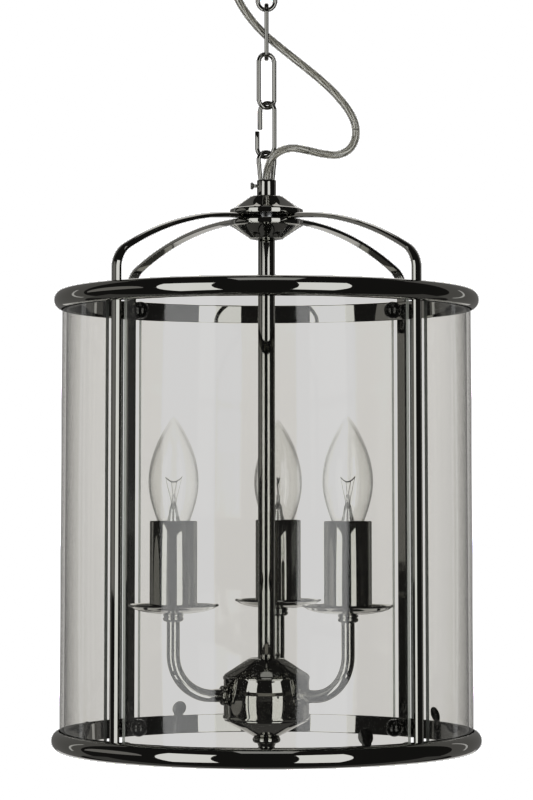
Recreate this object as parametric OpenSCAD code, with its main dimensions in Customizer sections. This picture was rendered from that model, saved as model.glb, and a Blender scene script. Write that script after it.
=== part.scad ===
// Hanging lantern: a glazed drum of two pressed rings and four bent bars, hung from a
// short chain, with a three-candle cluster on a centre stem.
// The origin is on the ceiling, above the chain. +Z is up, and the front is towards -Y.

/* [Ceiling fitting] */
// Outer diameter of the ceiling rose
rose_d = 110; // [96:2:130]
// Depth of the rose below the ceiling
rose_h = 33; // [31:1:36]
// Height of the hook's resting wire below the ceiling
hook_drop = 55; // [55:1:64]
// Distance between the two fixing screws
fixing_pitch = 70; // [60:2:76]

/* [Chain] */
// Diameter of the link wire
link_wire = 3.1; // [2.8:0.1:3.2]
// Outer length of a link
link_length = 41.8; // [40:0.2:44]
// Outer width of a link
link_width = 15.4; // [15:0.2:17]

/* [Flex] */
// Diameter of the supply flex
flex_d = 5.5; // [4.5:0.1:5.6]

/* [Frame] */
// Outer diameter of the two rings
ring_d = 300; // [280:2:320]
// Height of each ring
ring_h = 13.5; // [12:0.5:15]
// Distance between the centres of the two rings
ring_gap = 307; // [280:1:340]
// Height of the hub's middle above the top ring's centre
hub_rise = 59.2; // [56:0.2:64]
// Width of a frame bar
bar_w = 8; // [7:0.5:9]
// Thickness of a frame bar
bar_t = 3.4; // [3:0.1:3.6]
// Thickness of the glass
glass_t = 3; // [2:0.5:3]
// Gap between neighbouring panes, as an angle
pane_gap = 7.2; // [6:0.2:10]

/* [Cluster] */
// Outer diameter of the centre stem
stem_d = 12; // [11.5:0.1:14]
// Distance of each candle from the centre
candle_reach = 70; // [64:1:76]
// Turn of the candles about the stem
candle_turn = -7; // [-30:1:30]
// Outer diameter of a candle tube
candle_d = 33; // [30:0.5:34]
// Height of a candle tube
candle_h = 61.6; // [54:0.2:72]
// Outer diameter of a drip pan
pan_d = 63; // [56:1:70]
// Outer diameter of the cluster's drum
drum_d = 61; // [56:1:66]
// Largest diameter of a lamp
lamp_d = 35; // [33:0.5:36]
// Height of a lamp's glass above the candle tube
lamp_h = 73; // [66:1:80]

/* [Hidden] */

$fn = 64;

// Chain heights: the clear gap keeps two hooked wires just apart.
hang_gap = 0.3;
hook_wire = 4;
hook_r = 7;
link_r = (link_width - link_wire) / 2;
link_span = link_length - link_wire;
link_1_top = -hook_drop + (hook_wire + link_wire) / 2 + hang_gap;
link_step = link_span - link_wire - hang_gap;
link_2_top = link_1_top - link_step;
link_3_top = link_2_top - link_step;
open_top = link_3_top - link_step;
shackle_top = open_top - link_step;
// Turn of each link about the vertical, and how much wider the open link's foot is.
link_turns = [0, 90, 27, -33];
shackle_turn = 28;
open_splay = 0.6;

// Heights of the lantern's parts.
hub_z = shackle_top - 47;
top_ring_z = hub_z - hub_rise;
bottom_ring_z = top_ring_z - ring_gap;
cup_h = 13.4;
cup_r = 26;
cup_top_r = 11.5;
cup_rim_h = 4.2;
cup_wall = 1.4;
cup_gap = bar_t + 0.2;
gland_h = 11.6;
gland_r = 6.8;
gland_z = hub_z + cup_gap / 2 + cup_h;
gland_top = gland_z + gland_h;

// Ring section.
ring_r = ring_d / 2;
roll_r = ring_h / 2;
roll_c = ring_r - roll_r;
sheet = 1.1;
wall_r = ring_r - 10;
glass_r = ring_r - 5.8;
lip_r = ring_r - 5;

// Frame bars: an arch, a tight bend and a straight drop.
bar_r = wall_r + sheet + 0.3 + bar_t / 2;
arch_start = 25;
arch_r = 224;
bend_r = 18;
arch_angle = asin((bar_r - arch_start - bend_r) / (arch_r - bend_r));
arch_drop = arch_r * (1 - cos(arch_angle));
bend_drop = bend_r * cos(arch_angle);
bar_foot_z = bottom_ring_z - roll_r + sheet + 0.3;
bar_turns = [for (i = [0:3]) 45 + 90 * i];
stud_r = 2;
ball_r = 6.5;

// Stem and cluster.
stem_r = stem_d / 2;
rod_r = 4.9;
rod_bore = 3.4;
stem_top = hub_z - cup_gap / 2 - cup_h;
cap_top_z = hub_z - 310;
drum_top_z = cap_top_z - 12;
drum_h = 30;
drum_foot_z = drum_top_z - drum_h;
drum_r = drum_d / 2;
drum_wall = 1.8;
base_h = 12;
finial_top_z = drum_foot_z - base_h;
arm_z = drum_top_z - 13;
arm_r = 4.6;
arm_bore = 3.4;
arm_bend = 29;
pan_z = cap_top_z + 36.5;
candle_foot_z = pan_z - 2.2;
candle_top_z = candle_foot_z + candle_h;
candle_turns = [for (i = [0:2]) 90 + candle_turn + 120 * i];
holder_h = 34;
holder_top_z = candle_top_z - 4.5;
holder_bore = 7;
cap_r = 6.92;
thumb_z = gland_z + 7.6;

// Route of the flex from the gland, through the second link, to the rose's bush.
flex_r = flex_d / 2;
bush_x = -30;
flex_route = [
    [0, 0, -218], [0, 0, -212], [0.3, -0.6, -208], [1.3, -3.4, -203.5],
    [3.2, -6.6, -199], [7, -8.9, -194.5], [13, -9.4, -191.5], [20, -8.6, -190.6],
    [30, -7, -192.2], [40, -5.6, -194.2], [50, -4.4, -194.8], [58, -3.4, -191.4],
    [62.6, -2.8, -184.6], [63.6, -2.2, -176.5], [61.4, -1.8, -168], [56, -1.4, -159],
    [48, -1, -149.5], [38, -0.6, -140], [26, -0.2, -130], [13, 0, -119.5],
    [0, 0, -108.6], [-9.5, 0, -98.5], [-17, 0.2, -88], [-23, 0.4, -76.5],
    [-27.5, 0.2, -64], [-29.5, 0, -52], [-30, 0, -42], [-30, 0, -33], [-30, 0, -22]
];
// Where each length of flex ends, as places in the route.
flex_cuts = [0, 8, 13, 20, 24, 28];

// ---- shapes shared by several parts ----

// Points of an arc in the plane of a section.
function arc_points(c, r, a0, a1, n) =
    [for (i = [0:n]) [c[0] + r * cos(a0 + (a1 - a0) * i / n),
                      c[1] + r * sin(a0 + (a1 - a0) * i / n)]];

// A tube or ring with square edges, standing on z.
module tube(r_out, r_in, h) {
    difference() {
        cylinder(r = r_out, h = h);
        translate([0, 0, -1]) cylinder(r = r_in, h = h + 2);
    }
}

// Half of a ring of wire in the XZ plane, bowed towards +Z (or -Z when down is true).
module half_hoop(r, wire_r, down = false) {
    rotate([down ? -90 : 90, 0, 0])
        rotate_extrude(angle = 180, $fn = 96) translate([r, 0]) circle(r = wire_r, $fn = 48);
}

// A closed chain link hanging from its top wire.
module link(top, turn) {
    foot = top - link_span;
    rotate([0, 0, turn]) {
        translate([0, 0, top - link_r]) half_hoop(link_r, link_wire / 2);
        translate([0, 0, foot + link_r]) half_hoop(link_r, link_wire / 2, true);
        for (s = [-1, 1])
            translate([s * link_r, 0, foot + link_r])
                cylinder(r = link_wire / 2, h = link_span - 2 * link_r, $fn = 48);
    }
}

// ---- ceiling fitting ----

module ceiling_bracket() {
    strap_t = 2;
    color("silver") difference() {
        union() {
            translate([0, 0, -strap_t / 2]) cube([fixing_pitch, 18, strap_t], center = true);
            for (s = [-1, 1])
                translate([s * fixing_pitch / 2, 0, -strap_t]) cylinder(r = 9, h = strap_t);
        }
        for (s = [-1, 1])
            translate([s * fixing_pitch / 2, 0, -5]) cylinder(r = 2.25, h = 10);
        translate([0, 0, -5]) cylinder(r = 2.6, h = 10);
        translate([18, 0, -5]) cylinder(r = 1.6, h = 10);
    }
}

module ceiling_hook() {
    eye_z = -hook_drop + hook_r;
    color("dimgray") {
        translate([0, 0, eye_z]) rotate([0, 0, 90]) rotate([90, 0, 0])
            rotate_extrude(angle = 290, start = 90, $fn = 96)
                translate([hook_r, 0]) circle(r = hook_wire / 2, $fn = 48);
        translate([0, 0, eye_z + hook_r - 0.4])
            cylinder(r = 2.5, h = -(eye_z + hook_r) + 0.1);
    }
}

module hook_nuts() {
    color("silver")
        for (z = [-rose_h + 1.25, -6.1])
            translate([0, 0, z]) difference() {
                cylinder(r = 4.6, h = 4, $fn = 6);
                translate([0, 0, -1]) cylinder(r = 2.52, h = 6);
            }
}

module ceiling_rose() {
    t = 1.2;
    r = rose_d / 2;
    shoulder = 22;
    color("dimgray") difference() {
        rotate_extrude($fn = 96) difference() {
            union() {
                translate([0, -rose_h]) square([r - shoulder, rose_h]);
                translate([0, -rose_h + shoulder]) square([r, rose_h - shoulder]);
                translate([r - shoulder, -rose_h + shoulder]) intersection() {
                    circle(r = shoulder, $fn = 96);
                    translate([0, -shoulder]) square([shoulder, shoulder]);
                }
            }
            translate([-1, -rose_h + t]) square([r - shoulder + 1, rose_h]);
            translate([-1, -rose_h + shoulder]) square([r - t + 1, rose_h]);
            translate([r - shoulder, -rose_h + shoulder]) intersection() {
                circle(r = shoulder - t, $fn = 96);
                translate([0, -shoulder]) square([shoulder, shoulder + 1]);
            }
        }
        translate([0, 0, -rose_h - 1]) cylinder(r = 2.7, h = 4);
        translate([bush_x, 0, -rose_h - 1]) cylinder(r = 5, h = 4);
    }
}

module rose_collar() {
    color("dimgray") translate([0, 0, -rose_h - 4]) difference() {
        union() {
            cylinder(r1 = 5.6, r2 = 7, h = 1.2);
            translate([0, 0, 1.2]) cylinder(r = 7, h = 2.8);
        }
        translate([0, 0, -2]) cylinder(r = 2.52, h = 8);
    }
}

module flex_bush() {
    color("black") translate([bush_x, 0, -rose_h]) difference() {
        union() {
            translate([0, 0, -4]) cylinder(r = 7, h = 4);
            cylinder(r = 4.9, h = 6);
        }
        translate([0, 0, -5]) cylinder(r = flex_r + 0.05, h = 12);
    }
}

module flex_clamp() {
    color("white") translate([bush_x, 0, -rose_h + 6]) difference() {
        translate([-6, -8, 0]) cube([12, 16, 6]);
        translate([0, 0, -1]) cylinder(r = flex_r + 0.05, h = 8);
        for (s = [-1, 1]) translate([0, s * 6, -1]) cylinder(r = 1.2, h = 8, $fn = 32);
    }
}

module terminal_block() {
    color("white") translate([27, 0, -rose_h + 3.2]) difference() {
        translate([-7, -15, 0]) cube([14, 30, 11]);
        for (y = [-9.5, 0, 9.5]) {
            translate([-8, y, 4.5]) rotate([0, 90, 0]) cylinder(r = 1.6, h = 16, $fn = 32);
            for (x = [-4, 4]) translate([x, y, 4.5]) cylinder(r = 1.5, h = 8, $fn = 32);
        }
    }
}

// ---- chain ----

module open_link() {
    wire_r = link_wire / 2;
    foot_r = link_r + 2 * open_splay;
    foot = open_top - link_span;
    middle = (open_top + foot) / 2;
    color("dimgray") rotate([0, 0, link_turns[3]]) {
        translate([open_splay, 0, open_top - link_r]) half_hoop(link_r, wire_r);
        translate([-open_splay, 0, foot + foot_r]) half_hoop(foot_r, wire_r, true);
        translate([open_splay + link_r, 0, foot + foot_r])
            cylinder(r = wire_r, h = open_top - link_r - foot - foot_r, $fn = 48);
        translate([open_splay - link_r, 0, middle + 0.5])
            cylinder(r = wire_r, h = open_top - link_r - middle - 0.5, $fn = 48);
        translate([-open_splay - foot_r, 0, foot + foot_r])
            cylinder(r = wire_r, h = middle - 0.5 - foot - foot_r, $fn = 48);
    }
}

// ---- flex ----

function unit(v) = v / norm(v);

// A point part of the way between route points i and i + 1, on a smooth curve.
function route_at(p, i, t) =
    let (n = len(p) - 1,
         a = p[max(i - 1, 0)], b = p[i], c = p[min(i + 1, n)], d = p[min(i + 2, n)])
    0.5 * (2 * b + (c - a) * t + (2 * a - 5 * b + 4 * c - d) * t * t
        + (3 * b - a - 3 * c + d) * t * t * t);

flex_fine = 2;
flex_line = [
    for (i = [0:len(flex_route) - 2]) for (k = [0:flex_fine - 1])
        route_at(flex_route, i, k / flex_fine),
    flex_route[len(flex_route) - 1]
];

// One ring of points round the line at place i.
function flex_ring(line, i, r, sides) =
    let (ends = i == 0 || i == len(line) - 1,
         t = ends ? [0, 0, 1] : unit(line[i + 1] - line[i - 1]),
         u = unit([0, 1, 0] - ([0, 1, 0] * t) * t),
         v = cross(t, u))
    [for (k = [0:sides - 1])
        line[i] + r * (cos(360 * k / sides) * u + sin(360 * k / sides) * v)];

module flex(length_number) {
    sides = 10;
    first = flex_cuts[length_number - 1] * flex_fine;
    last = flex_cuts[length_number] * flex_fine;
    rings = last - first;
    points = [for (i = [first:last]) each flex_ring(flex_line, i, flex_r, sides)];
    color("gainsboro") polyhedron(points, concat(
        [[for (k = [0:sides - 1]) k]],
        [for (i = [0:rings - 1]) for (k = [0:sides - 1])
            let (a = i * sides + k, b = i * sides + (k + 1) % sides)
            [a, a + sides, b + sides, b]],
        [[for (k = [sides - 1:-1:0]) rings * sides + k]]
    ));
}

// ---- hanging point and hub ----

shackle_r = 6.3;
shackle_lean = 6.4;
shackle_foot_z = gland_top - 2.5;

module shackle_shape(wire_r) {
    arc_z = shackle_top - shackle_r;
    leg = (arc_z - shackle_foot_z) / cos(shackle_lean) - shackle_r * tan(shackle_lean);
    rotate([0, 0, shackle_turn]) translate([0, 0, arc_z]) {
        rotate([90, 0, 0])
            rotate_extrude(angle = 180 + 2 * shackle_lean, start = -shackle_lean, $fn = 96)
                translate([shackle_r, 0]) circle(r = wire_r, $fn = 48);
        for (s = [0, 180])
            rotate([0, 0, s]) rotate([0, shackle_lean, 0]) translate([shackle_r, 0, -leg])
                cylinder(r = wire_r, h = leg, $fn = 48);
    }
}

module shackle() {
    color("dimgray") shackle_shape(link_wire / 2);
}

module gland() {
    color("dimgray") difference() {
        translate([0, 0, gland_z]) cylinder(r = gland_r, h = gland_h);
        translate([0, 0, gland_z - 1]) cylinder(r = rod_r, h = 5);
        translate([0, 0, gland_z + 2]) cylinder(r = flex_r + 0.1, h = gland_h);
        translate([-gland_r - 1, 0, thumb_z]) rotate([0, 90, 0])
            cylinder(r = 1.25, h = gland_r - flex_r + 1, $fn = 32);
        shackle_shape(link_wire / 2 + 0.05);
    }
}

module thumb_screw() {
    color("dimgray") translate([0, 0, thumb_z]) rotate([0, -90, 0]) {
        translate([0, 0, flex_r + 0.3]) cylinder(r = 1.2, h = 9 - flex_r, $fn = 32);
        translate([0, 0, 9]) difference() {
            cylinder(r = 2.4, h = 2.4, $fn = 48);
            translate([-3, -0.35, 1.7]) cube([6, 0.7, 1]);
        }
    }
}

module cup_shape() {
    rotate_extrude($fn = 96) difference() {
        polygon([[0, 0], [cup_r, 0], [cup_r, cup_rim_h], [cup_top_r, cup_h], [0, cup_h]]);
        polygon([[-1, -1], [cup_r - cup_wall, -1], [cup_r - cup_wall, cup_rim_h - 0.7],
            [cup_top_r - 0.6, cup_h - cup_wall], [-1, cup_h - cup_wall]]);
        translate([-1, -1]) square([rod_r + 0.1 + 1, cup_h + 2]);
    }
}

module upper_cup() {
    color("dimgray") translate([0, 0, hub_z + cup_gap / 2]) cup_shape();
}

module lower_cup() {
    color("dimgray") translate([0, 0, hub_z - cup_gap / 2]) mirror([0, 0, 1]) cup_shape();
}

module hub_spacer() {
    color("silver") translate([0, 0, hub_z - cup_gap / 2 - cup_h + cup_wall])
        tube(9, rod_r + 0.1, cup_gap + 2 * cup_h - 2 * cup_wall);
}

// ---- frame ----

// Section of a bar, with its flat face inwards and its crown outwards.
module bar_section() {
    crown = bar_t - 1.5;
    crown_r = (pow(bar_w / 2, 2) + pow(crown, 2)) / (2 * crown);
    intersection() {
        translate([bar_t / 2 - crown_r, 0]) circle(r = crown_r, $fn = 96);
        translate([-bar_t / 2, -bar_w / 2]) square([bar_t, bar_w]);
    }
}

module bar(turn) {
    bend_x = bar_r - bend_r;
    bend_z = hub_z - arch_drop - bend_drop;
    color("dimgray") rotate([0, 0, turn]) difference() {
        union() {
            translate([arch_start, 0, hub_z - arch_r]) rotate([90, 0, 0])
                rotate_extrude(angle = arch_angle, start = 90 - arch_angle, $fn = 180)
                    translate([arch_r, 0]) bar_section();
            translate([bend_x, 0, bend_z]) rotate([90, 0, 0])
                rotate_extrude(angle = 90 - arch_angle, $fn = 96)
                    translate([bend_r, 0]) bar_section();
            translate([bar_r, 0, bar_foot_z])
                linear_extrude(height = bend_z - bar_foot_z) bar_section();
            translate([9.6, 0, hub_z]) rotate([90, 0, 90])
                linear_extrude(height = arch_start - 9.6) rotate(90) bar_section();
        }
        for (z = [top_ring_z, bottom_ring_z])
            translate([bar_r - 5, 0, z]) rotate([0, 90, 0])
                cylinder(r = stud_r, h = 10, $fn = 32);
    }
}

// Section of a ring: a pressed channel, open towards -Y of the section, with a rolled outside.
module ring_section() {
    difference() {
        union() {
            translate([wall_r, -roll_r]) square([roll_c - wall_r, ring_h]);
            intersection() {
                translate([roll_c, 0]) circle(r = roll_r, $fn = 96);
                translate([roll_c - 1, -roll_r - 1]) square([roll_r + 2, ring_h + 2]);
            }
        }
        translate([wall_r + sheet, -roll_r - 1])
            square([roll_c - wall_r - sheet, ring_h + 1 - sheet]);
        intersection() {
            translate([roll_c, 0]) circle(r = roll_r - sheet, $fn = 96);
            translate([roll_c - 0.1, -roll_r]) square([roll_r, ring_h]);
        }
        translate([wall_r + sheet, -roll_r - 1]) square([lip_r - wall_r - sheet, 4]);
    }
}

module ring(z, up) {
    color("dimgray") difference() {
        translate([0, 0, z]) mirror([0, 0, up ? 1 : 0])
            rotate_extrude($fn = 180) ring_section();
        for (turn = bar_turns) rotate([0, 0, turn]) {
            if (!up)
                translate([bar_r - bar_t / 2 - 0.15, -bar_w / 2 - 0.2, z + 3])
                    cube([bar_t + 0.5, bar_w + 0.4, ring_h]);
            translate([wall_r - 2, 0, z]) rotate([0, 90, 0])
                cylinder(r = stud_r, h = 5, $fn = 32);
        }
    }
}

module pane(turn) {
    // The foot stands just above the bottom ring's inner ledge.
    foot = bottom_ring_z - roll_r + sheet + 0.2;
    sweep = 90 - pane_gap;
    color("lightblue", 0.3) translate([0, 0, foot]) rotate([0, 0, turn - sweep / 2])
        rotate_extrude(angle = sweep, $fn = 180)
            translate([glass_r - glass_t, 0])
                square([glass_t, top_ring_z + roll_r - sheet - 1.5 - foot]);
}

module bar_screws() {
    head_r = bar_r + bar_t / 2;
    color("silver") for (z = [top_ring_z, bottom_ring_z], turn = bar_turns)
        translate([0, 0, z]) rotate([0, 0, turn]) rotate([0, 90, 0]) {
            translate([0, 0, wall_r - 6]) cylinder(r = stud_r - 0.02, h = head_r - wall_r + 6,
                $fn = 32);
            translate([0, 0, head_r]) cylinder(r = 3.4, h = 1.5, $fn = 32);
        }
}

module ball_nuts(z) {
    color("black") for (turn = bar_turns)
        translate([0, 0, z]) rotate([0, 0, turn]) rotate([0, -90, 0]) difference() {
            union() {
                translate([0, 0, -wall_r + 0.1]) cylinder(r = 4.4, h = 3, $fn = 48);
                translate([0, 0, -wall_r + 7.6]) sphere(r = ball_r, $fn = 64);
            }
            translate([0, 0, -wall_r - 1]) cylinder(r = stud_r, h = 7.1, $fn = 32);
        }
}

clip_turns = [for (i = [0:3]) -62 + 90 * i];

module glass_clips() {
    leaf_w = 7;
    leaf_t = 0.8;
    head_r = 5.6;
    head_lean = 14;
    leaf_h = ring_h + 2;
    color("gray") for (turn = clip_turns)
        translate([0, 0, bottom_ring_z]) rotate([0, 0, turn]) {
            translate([wall_r - leaf_t - 0.1, -leaf_w / 2, -roll_r - 1.5])
                cube([leaf_t, leaf_w, leaf_h + 1]);
            translate([wall_r - leaf_t - 0.5, 0, leaf_h - roll_r - 0.6])
                rotate([0, -head_lean, 0]) translate([0, 0, head_r * 0.7]) rotate([0, 90, 0])
                    cylinder(r = head_r, h = leaf_t, $fn = 48);
            translate([wall_r - leaf_t - 1.1, 0, 0]) rotate([0, 90, 0])
                cylinder(r = 1.8, h = 1.4, $fn = 32);
        }
}

// ---- stem and cluster ----

module stem_tube() {
    color("dimgray") translate([0, 0, cap_top_z])
        tube(stem_r, rod_r + 0.1, stem_top - cap_top_z);
}

module stem_rod() {
    foot = finial_top_z - 9;
    color("silver") translate([0, 0, foot])
        tube(rod_r, rod_bore, gland_z + 4 - foot);
}

module cluster_cap() {
    color("dimgray") translate([0, 0, drum_top_z]) rotate_extrude($fn = 96) difference() {
        polygon([[0, 0], [drum_r - 1, 0], [drum_r - 1, 1], [12, 12], [0, 12]]);
        polygon([[-1, -1], [drum_r - 3, -1], [drum_r - 3, 0.4], [11.4, 10.5], [-1, 10.5]]);
        translate([-1, -1]) square([rod_r + 1.1, 15]);
    }
}

module cluster_drum() {
    color("dimgray") difference() {
        translate([0, 0, drum_foot_z]) tube(drum_r, drum_r - drum_wall, drum_h);
        for (turn = candle_turns)
            translate([0, 0, arm_z]) rotate([0, 90, turn])
                translate([0, 0, drum_r - 8]) cylinder(r = arm_r + 0.02, h = 12);
    }
}

module cluster_base() {
    color("dimgray") translate([0, 0, finial_top_z]) rotate_extrude($fn = 96) difference() {
        polygon([[0, 0], [9.5, 0], [drum_r - 1, base_h - 1], [drum_r - 1, base_h],
            [0, base_h]]);
        polygon([[-1, 1.5], [9, 1.5], [drum_r - 3, base_h - 0.4], [drum_r - 3, base_h + 1],
            [-1, base_h + 1]]);
        translate([-1, -1]) square([rod_r + 1.1, base_h + 2]);
    }
}

module finial() {
    color("dimgray") translate([0, 0, finial_top_z]) rotate([180, 0, 0]) difference() {
        union() {
            rotate_extrude($fn = 96) intersection() {
                translate([7.4, 2.4]) circle(r = 2.4, $fn = 48);
                translate([5, 0]) square([6, 6]);
            }
            cylinder(r = 7.4, h = 4.8);
            translate([0, 0, 4.8]) cylinder(r1 = 6.6, r2 = 5.6, h = 2.6);
            translate([0, 0, 7.4]) cylinder(r1 = 5.6, r2 = 8, h = 3);
            translate([0, 0, 10.4]) cylinder(r = 8, h = 1.4);
            translate([0, 0, 11.8]) cylinder(r1 = 7.2, r2 = 4.2, h = 5.4);
            translate([0, 0, 17.2]) sphere(r = 4.2);
        }
        translate([0, 0, -1]) cylinder(r = rod_r, h = 10.2);
    }
}

module drum_nuts() {
    color("silver") for (z = [drum_foot_z + 2, drum_top_z - 6])
        translate([0, 0, z]) difference() {
            cylinder(r = 9.8, h = 4, $fn = 6);
            translate([0, 0, -1]) cylinder(r = rod_r + 0.02, h = 6);
        }
}

// One candle arm: out of the drum, round a quarter bend, and up to its pan.
module arm_path(r, overrun) {
    straight = candle_reach - arm_bend;
    translate([straight, 0, arm_z + arm_bend]) rotate([90, 0, 0])
        rotate_extrude(angle = 90, start = 270, $fn = 96)
            translate([arm_bend, 0]) circle(r = r, $fn = 48);
    translate([drum_r - 6 - overrun, 0, arm_z]) rotate([0, 90, 0])
        cylinder(r = r, h = straight - drum_r + 6 + overrun, $fn = 48);
    translate([candle_reach, 0, arm_z + arm_bend])
        cylinder(r = r, h = pan_z + 6 + overrun - arm_z - arm_bend, $fn = 48);
}

module candle_arms() {
    color("dimgray") for (turn = candle_turns) rotate([0, 0, turn]) difference() {
        arm_path(arm_r, 0);
        arm_path(arm_bore, 1);
    }
}

module arm_collars() {
    color("dimgray") for (turn = candle_turns)
        translate([0, 0, arm_z]) rotate([0, 90, turn]) translate([0, 0, drum_r + 0.6])
            tube(6.8, arm_r + 0.02, 3);
}

module pan_nuts() {
    color("dimgray") for (turn = candle_turns) rotate([0, 0, turn])
        translate([candle_reach, 0, pan_z - 10]) difference() {
            union() {
                cylinder(r1 = 5.8, r2 = 7.2, h = 2);
                translate([0, 0, 2]) cylinder(r = 7.2, h = 3);
                translate([0, 0, 5]) cylinder(r = 5.8, h = 1);
            }
            translate([0, 0, -1]) cylinder(r = arm_r + 0.02, h = 9);
        }
}

module drip_pans() {
    r = pan_d / 2;
    color("dimgray") for (turn = candle_turns) rotate([0, 0, turn])
        translate([candle_reach, 0, pan_z - 4]) rotate_extrude($fn = 96)
            polygon([[arm_r + 0.02, 0], [14, 0], [24, 1.6], [r - 1.4, 4.6], [r, 4.8],
                [r, 6], [r - 1.8, 5.8], [23.6, 2.8], [13.8, 1.2], [arm_r + 0.02, 1.2]]);
}

module lamp_holders() {
    color("ivory") for (turn = candle_turns) rotate([0, 0, turn])
        translate([candle_reach, 0, 0]) difference() {
            union() {
                translate([0, 0, holder_top_z - holder_h]) cylinder(r = 10.5, h = holder_h);
                translate([0, 0, pan_z - 2.8])
                    cylinder(r = 8, h = holder_top_z - holder_h - pan_z + 2.8);
            }
            translate([0, 0, holder_top_z - holder_h + 5])
                cylinder(r = holder_bore, h = holder_h);
            translate([0, 0, pan_z - 4]) cylinder(r = arm_r + 0.02, h = 11);
        }
}

module candle_tubes() {
    wall = 1.1;
    color("dimgray") for (turn = candle_turns) rotate([0, 0, turn])
        translate([candle_reach, 0, candle_foot_z])
            tube(candle_d / 2, candle_d / 2 - wall, candle_h);
}

// ---- lamps ----

// Outline of a lamp's glass: half width at a share of its height above the tube.
function lamp_half(s) =
    let (belly = 0.37, neck = 11.4)
    s < belly
        ? neck + (lamp_d / 2 - neck) * sin(90 * s / belly)
        : lamp_d / 2 * pow(cos(90 * (s - belly) / (1 - belly)), 0.86);

module lamp_glass(turn) {
    steps = 16;
    wall = 0.8;
    shares = [for (i = [0:steps - 1]) pow(i / steps, 0.9)];
    outer = [for (s = shares) [lamp_half(s), s * lamp_h]];
    inner = [for (s = shares) [lamp_half(s) - wall, s * (lamp_h - 2)]];
    color("white", 0.3) rotate([0, 0, turn]) translate([candle_reach, 0, candle_top_z])
        rotate_extrude($fn = 64)
            polygon(concat([[0, -4], [8.6, -4]], outer, [[0, lamp_h]],
                [[0, lamp_h - 2]], [for (i = [steps - 1:-1:0]) inner[i]],
                [[7.8, -3], [0, -3]]));
}

module lamp_cap(turn) {
    color("silver") rotate([0, 0, turn]) translate([candle_reach, 0, candle_top_z - 4]) {
        translate([0, 0, -21]) cylinder(r = cap_r, h = 21);
        translate([0, 0, -25]) cylinder(r1 = 2.6, r2 = 5.6, h = 4);
    }
}

module lamp_filament(turn) {
    color("silver") rotate([0, 0, turn]) translate([candle_reach, 0, candle_top_z - 3]) {
        cylinder(r1 = 5, r2 = 3, h = 14, $fn = 32);
        for (s = [-1, 1])
            translate([s * 2, 0, 14]) rotate([0, s * 14, 0])
                translate([0, 0, -1]) cylinder(r = 0.4, h = 22, $fn = 16);
        translate([-7.2, 0, 34.2]) rotate([0, 90, 0]) cylinder(r = 0.5, h = 14.4, $fn = 16);
    }
}

ceiling_bracket();
ceiling_hook();
hook_nuts();
ceiling_rose();
rose_collar();
flex_bush();
flex_clamp();
terminal_block();
color("dimgray") link(link_1_top, link_turns[0]);  // chain_link_1
color("dimgray") link(link_2_top, link_turns[1]);  // chain_link_2
color("dimgray") link(link_3_top, link_turns[2]);  // chain_link_3
open_link();
flex(1);  // flex_1
flex(2);  // flex_2
flex(3);  // flex_3
flex(4);  // flex_4
flex(5);  // flex_5
shackle();
gland();
thumb_screw();
upper_cup();
lower_cup();
hub_spacer();
bar(bar_turns[0]);  // bar_1
bar(bar_turns[1]);  // bar_2
bar(bar_turns[2]);  // bar_3
bar(bar_turns[3]);  // bar_4
ring(top_ring_z, false);  // top_ring
ring(bottom_ring_z, true);  // bottom_ring
pane(0);  // pane_1
pane(90);  // pane_2
pane(180);  // pane_3
pane(270);  // pane_4
bar_screws();
ball_nuts(top_ring_z);  // top_ball_nuts
ball_nuts(bottom_ring_z);  // bottom_ball_nuts
glass_clips();
stem_tube();
stem_rod();
cluster_cap();
cluster_drum();
cluster_base();
finial();
drum_nuts();
candle_arms();
arm_collars();
pan_nuts();
drip_pans();
lamp_holders();
candle_tubes();
lamp_glass(candle_turns[0]);  // lamp_1_glass
lamp_cap(candle_turns[0]);  // lamp_1_cap
lamp_filament(candle_turns[0]);  // lamp_1_filament
lamp_glass(candle_turns[1]);  // lamp_2_glass
lamp_cap(candle_turns[1]);  // lamp_2_cap
lamp_filament(candle_turns[1]);  // lamp_2_filament
lamp_glass(candle_turns[2]);  // lamp_3_glass
lamp_cap(candle_turns[2]);  // lamp_3_cap
lamp_filament(candle_turns[2]);  // lamp_3_filament
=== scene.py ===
"""Hanging lantern: the finished look of a glazed lantern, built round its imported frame.

Two rolled rings, four bent bars and four curved panes hang from a short chain. Inside
them a stem carries three candle lamps, and a clear flex runs up beside the chain.
Lengths are in metres and turns in degrees, except where a name or comment says otherwise.
"""

import logging
import math
from dataclasses import dataclass, field
from enum import Enum
from typing import Iterable, Optional, Sequence

import bmesh
import bpy
from mathutils import Matrix, Vector


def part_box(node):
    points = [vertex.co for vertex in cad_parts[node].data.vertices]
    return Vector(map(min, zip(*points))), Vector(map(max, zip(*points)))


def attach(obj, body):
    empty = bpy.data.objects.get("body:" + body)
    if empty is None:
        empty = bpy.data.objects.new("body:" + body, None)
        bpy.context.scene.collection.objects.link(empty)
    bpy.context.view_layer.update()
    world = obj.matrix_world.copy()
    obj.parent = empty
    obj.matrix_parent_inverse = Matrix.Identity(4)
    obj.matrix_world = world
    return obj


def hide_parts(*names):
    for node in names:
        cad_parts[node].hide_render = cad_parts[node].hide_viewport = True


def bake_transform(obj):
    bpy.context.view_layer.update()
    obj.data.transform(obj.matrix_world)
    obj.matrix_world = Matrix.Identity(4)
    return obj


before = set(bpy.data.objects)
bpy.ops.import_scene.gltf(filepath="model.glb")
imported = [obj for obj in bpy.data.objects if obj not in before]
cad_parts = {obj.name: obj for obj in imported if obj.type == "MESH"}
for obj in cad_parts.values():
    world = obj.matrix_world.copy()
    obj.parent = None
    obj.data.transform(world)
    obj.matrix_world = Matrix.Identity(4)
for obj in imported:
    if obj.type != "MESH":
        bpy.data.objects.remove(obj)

LOG = logging.getLogger("lantern")
MM = 0.001
RUN_UV = "run"
FINE_DEPTH = 0.0002
NEUTRAL = (1.0, 1.0, 1.0)
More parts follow.
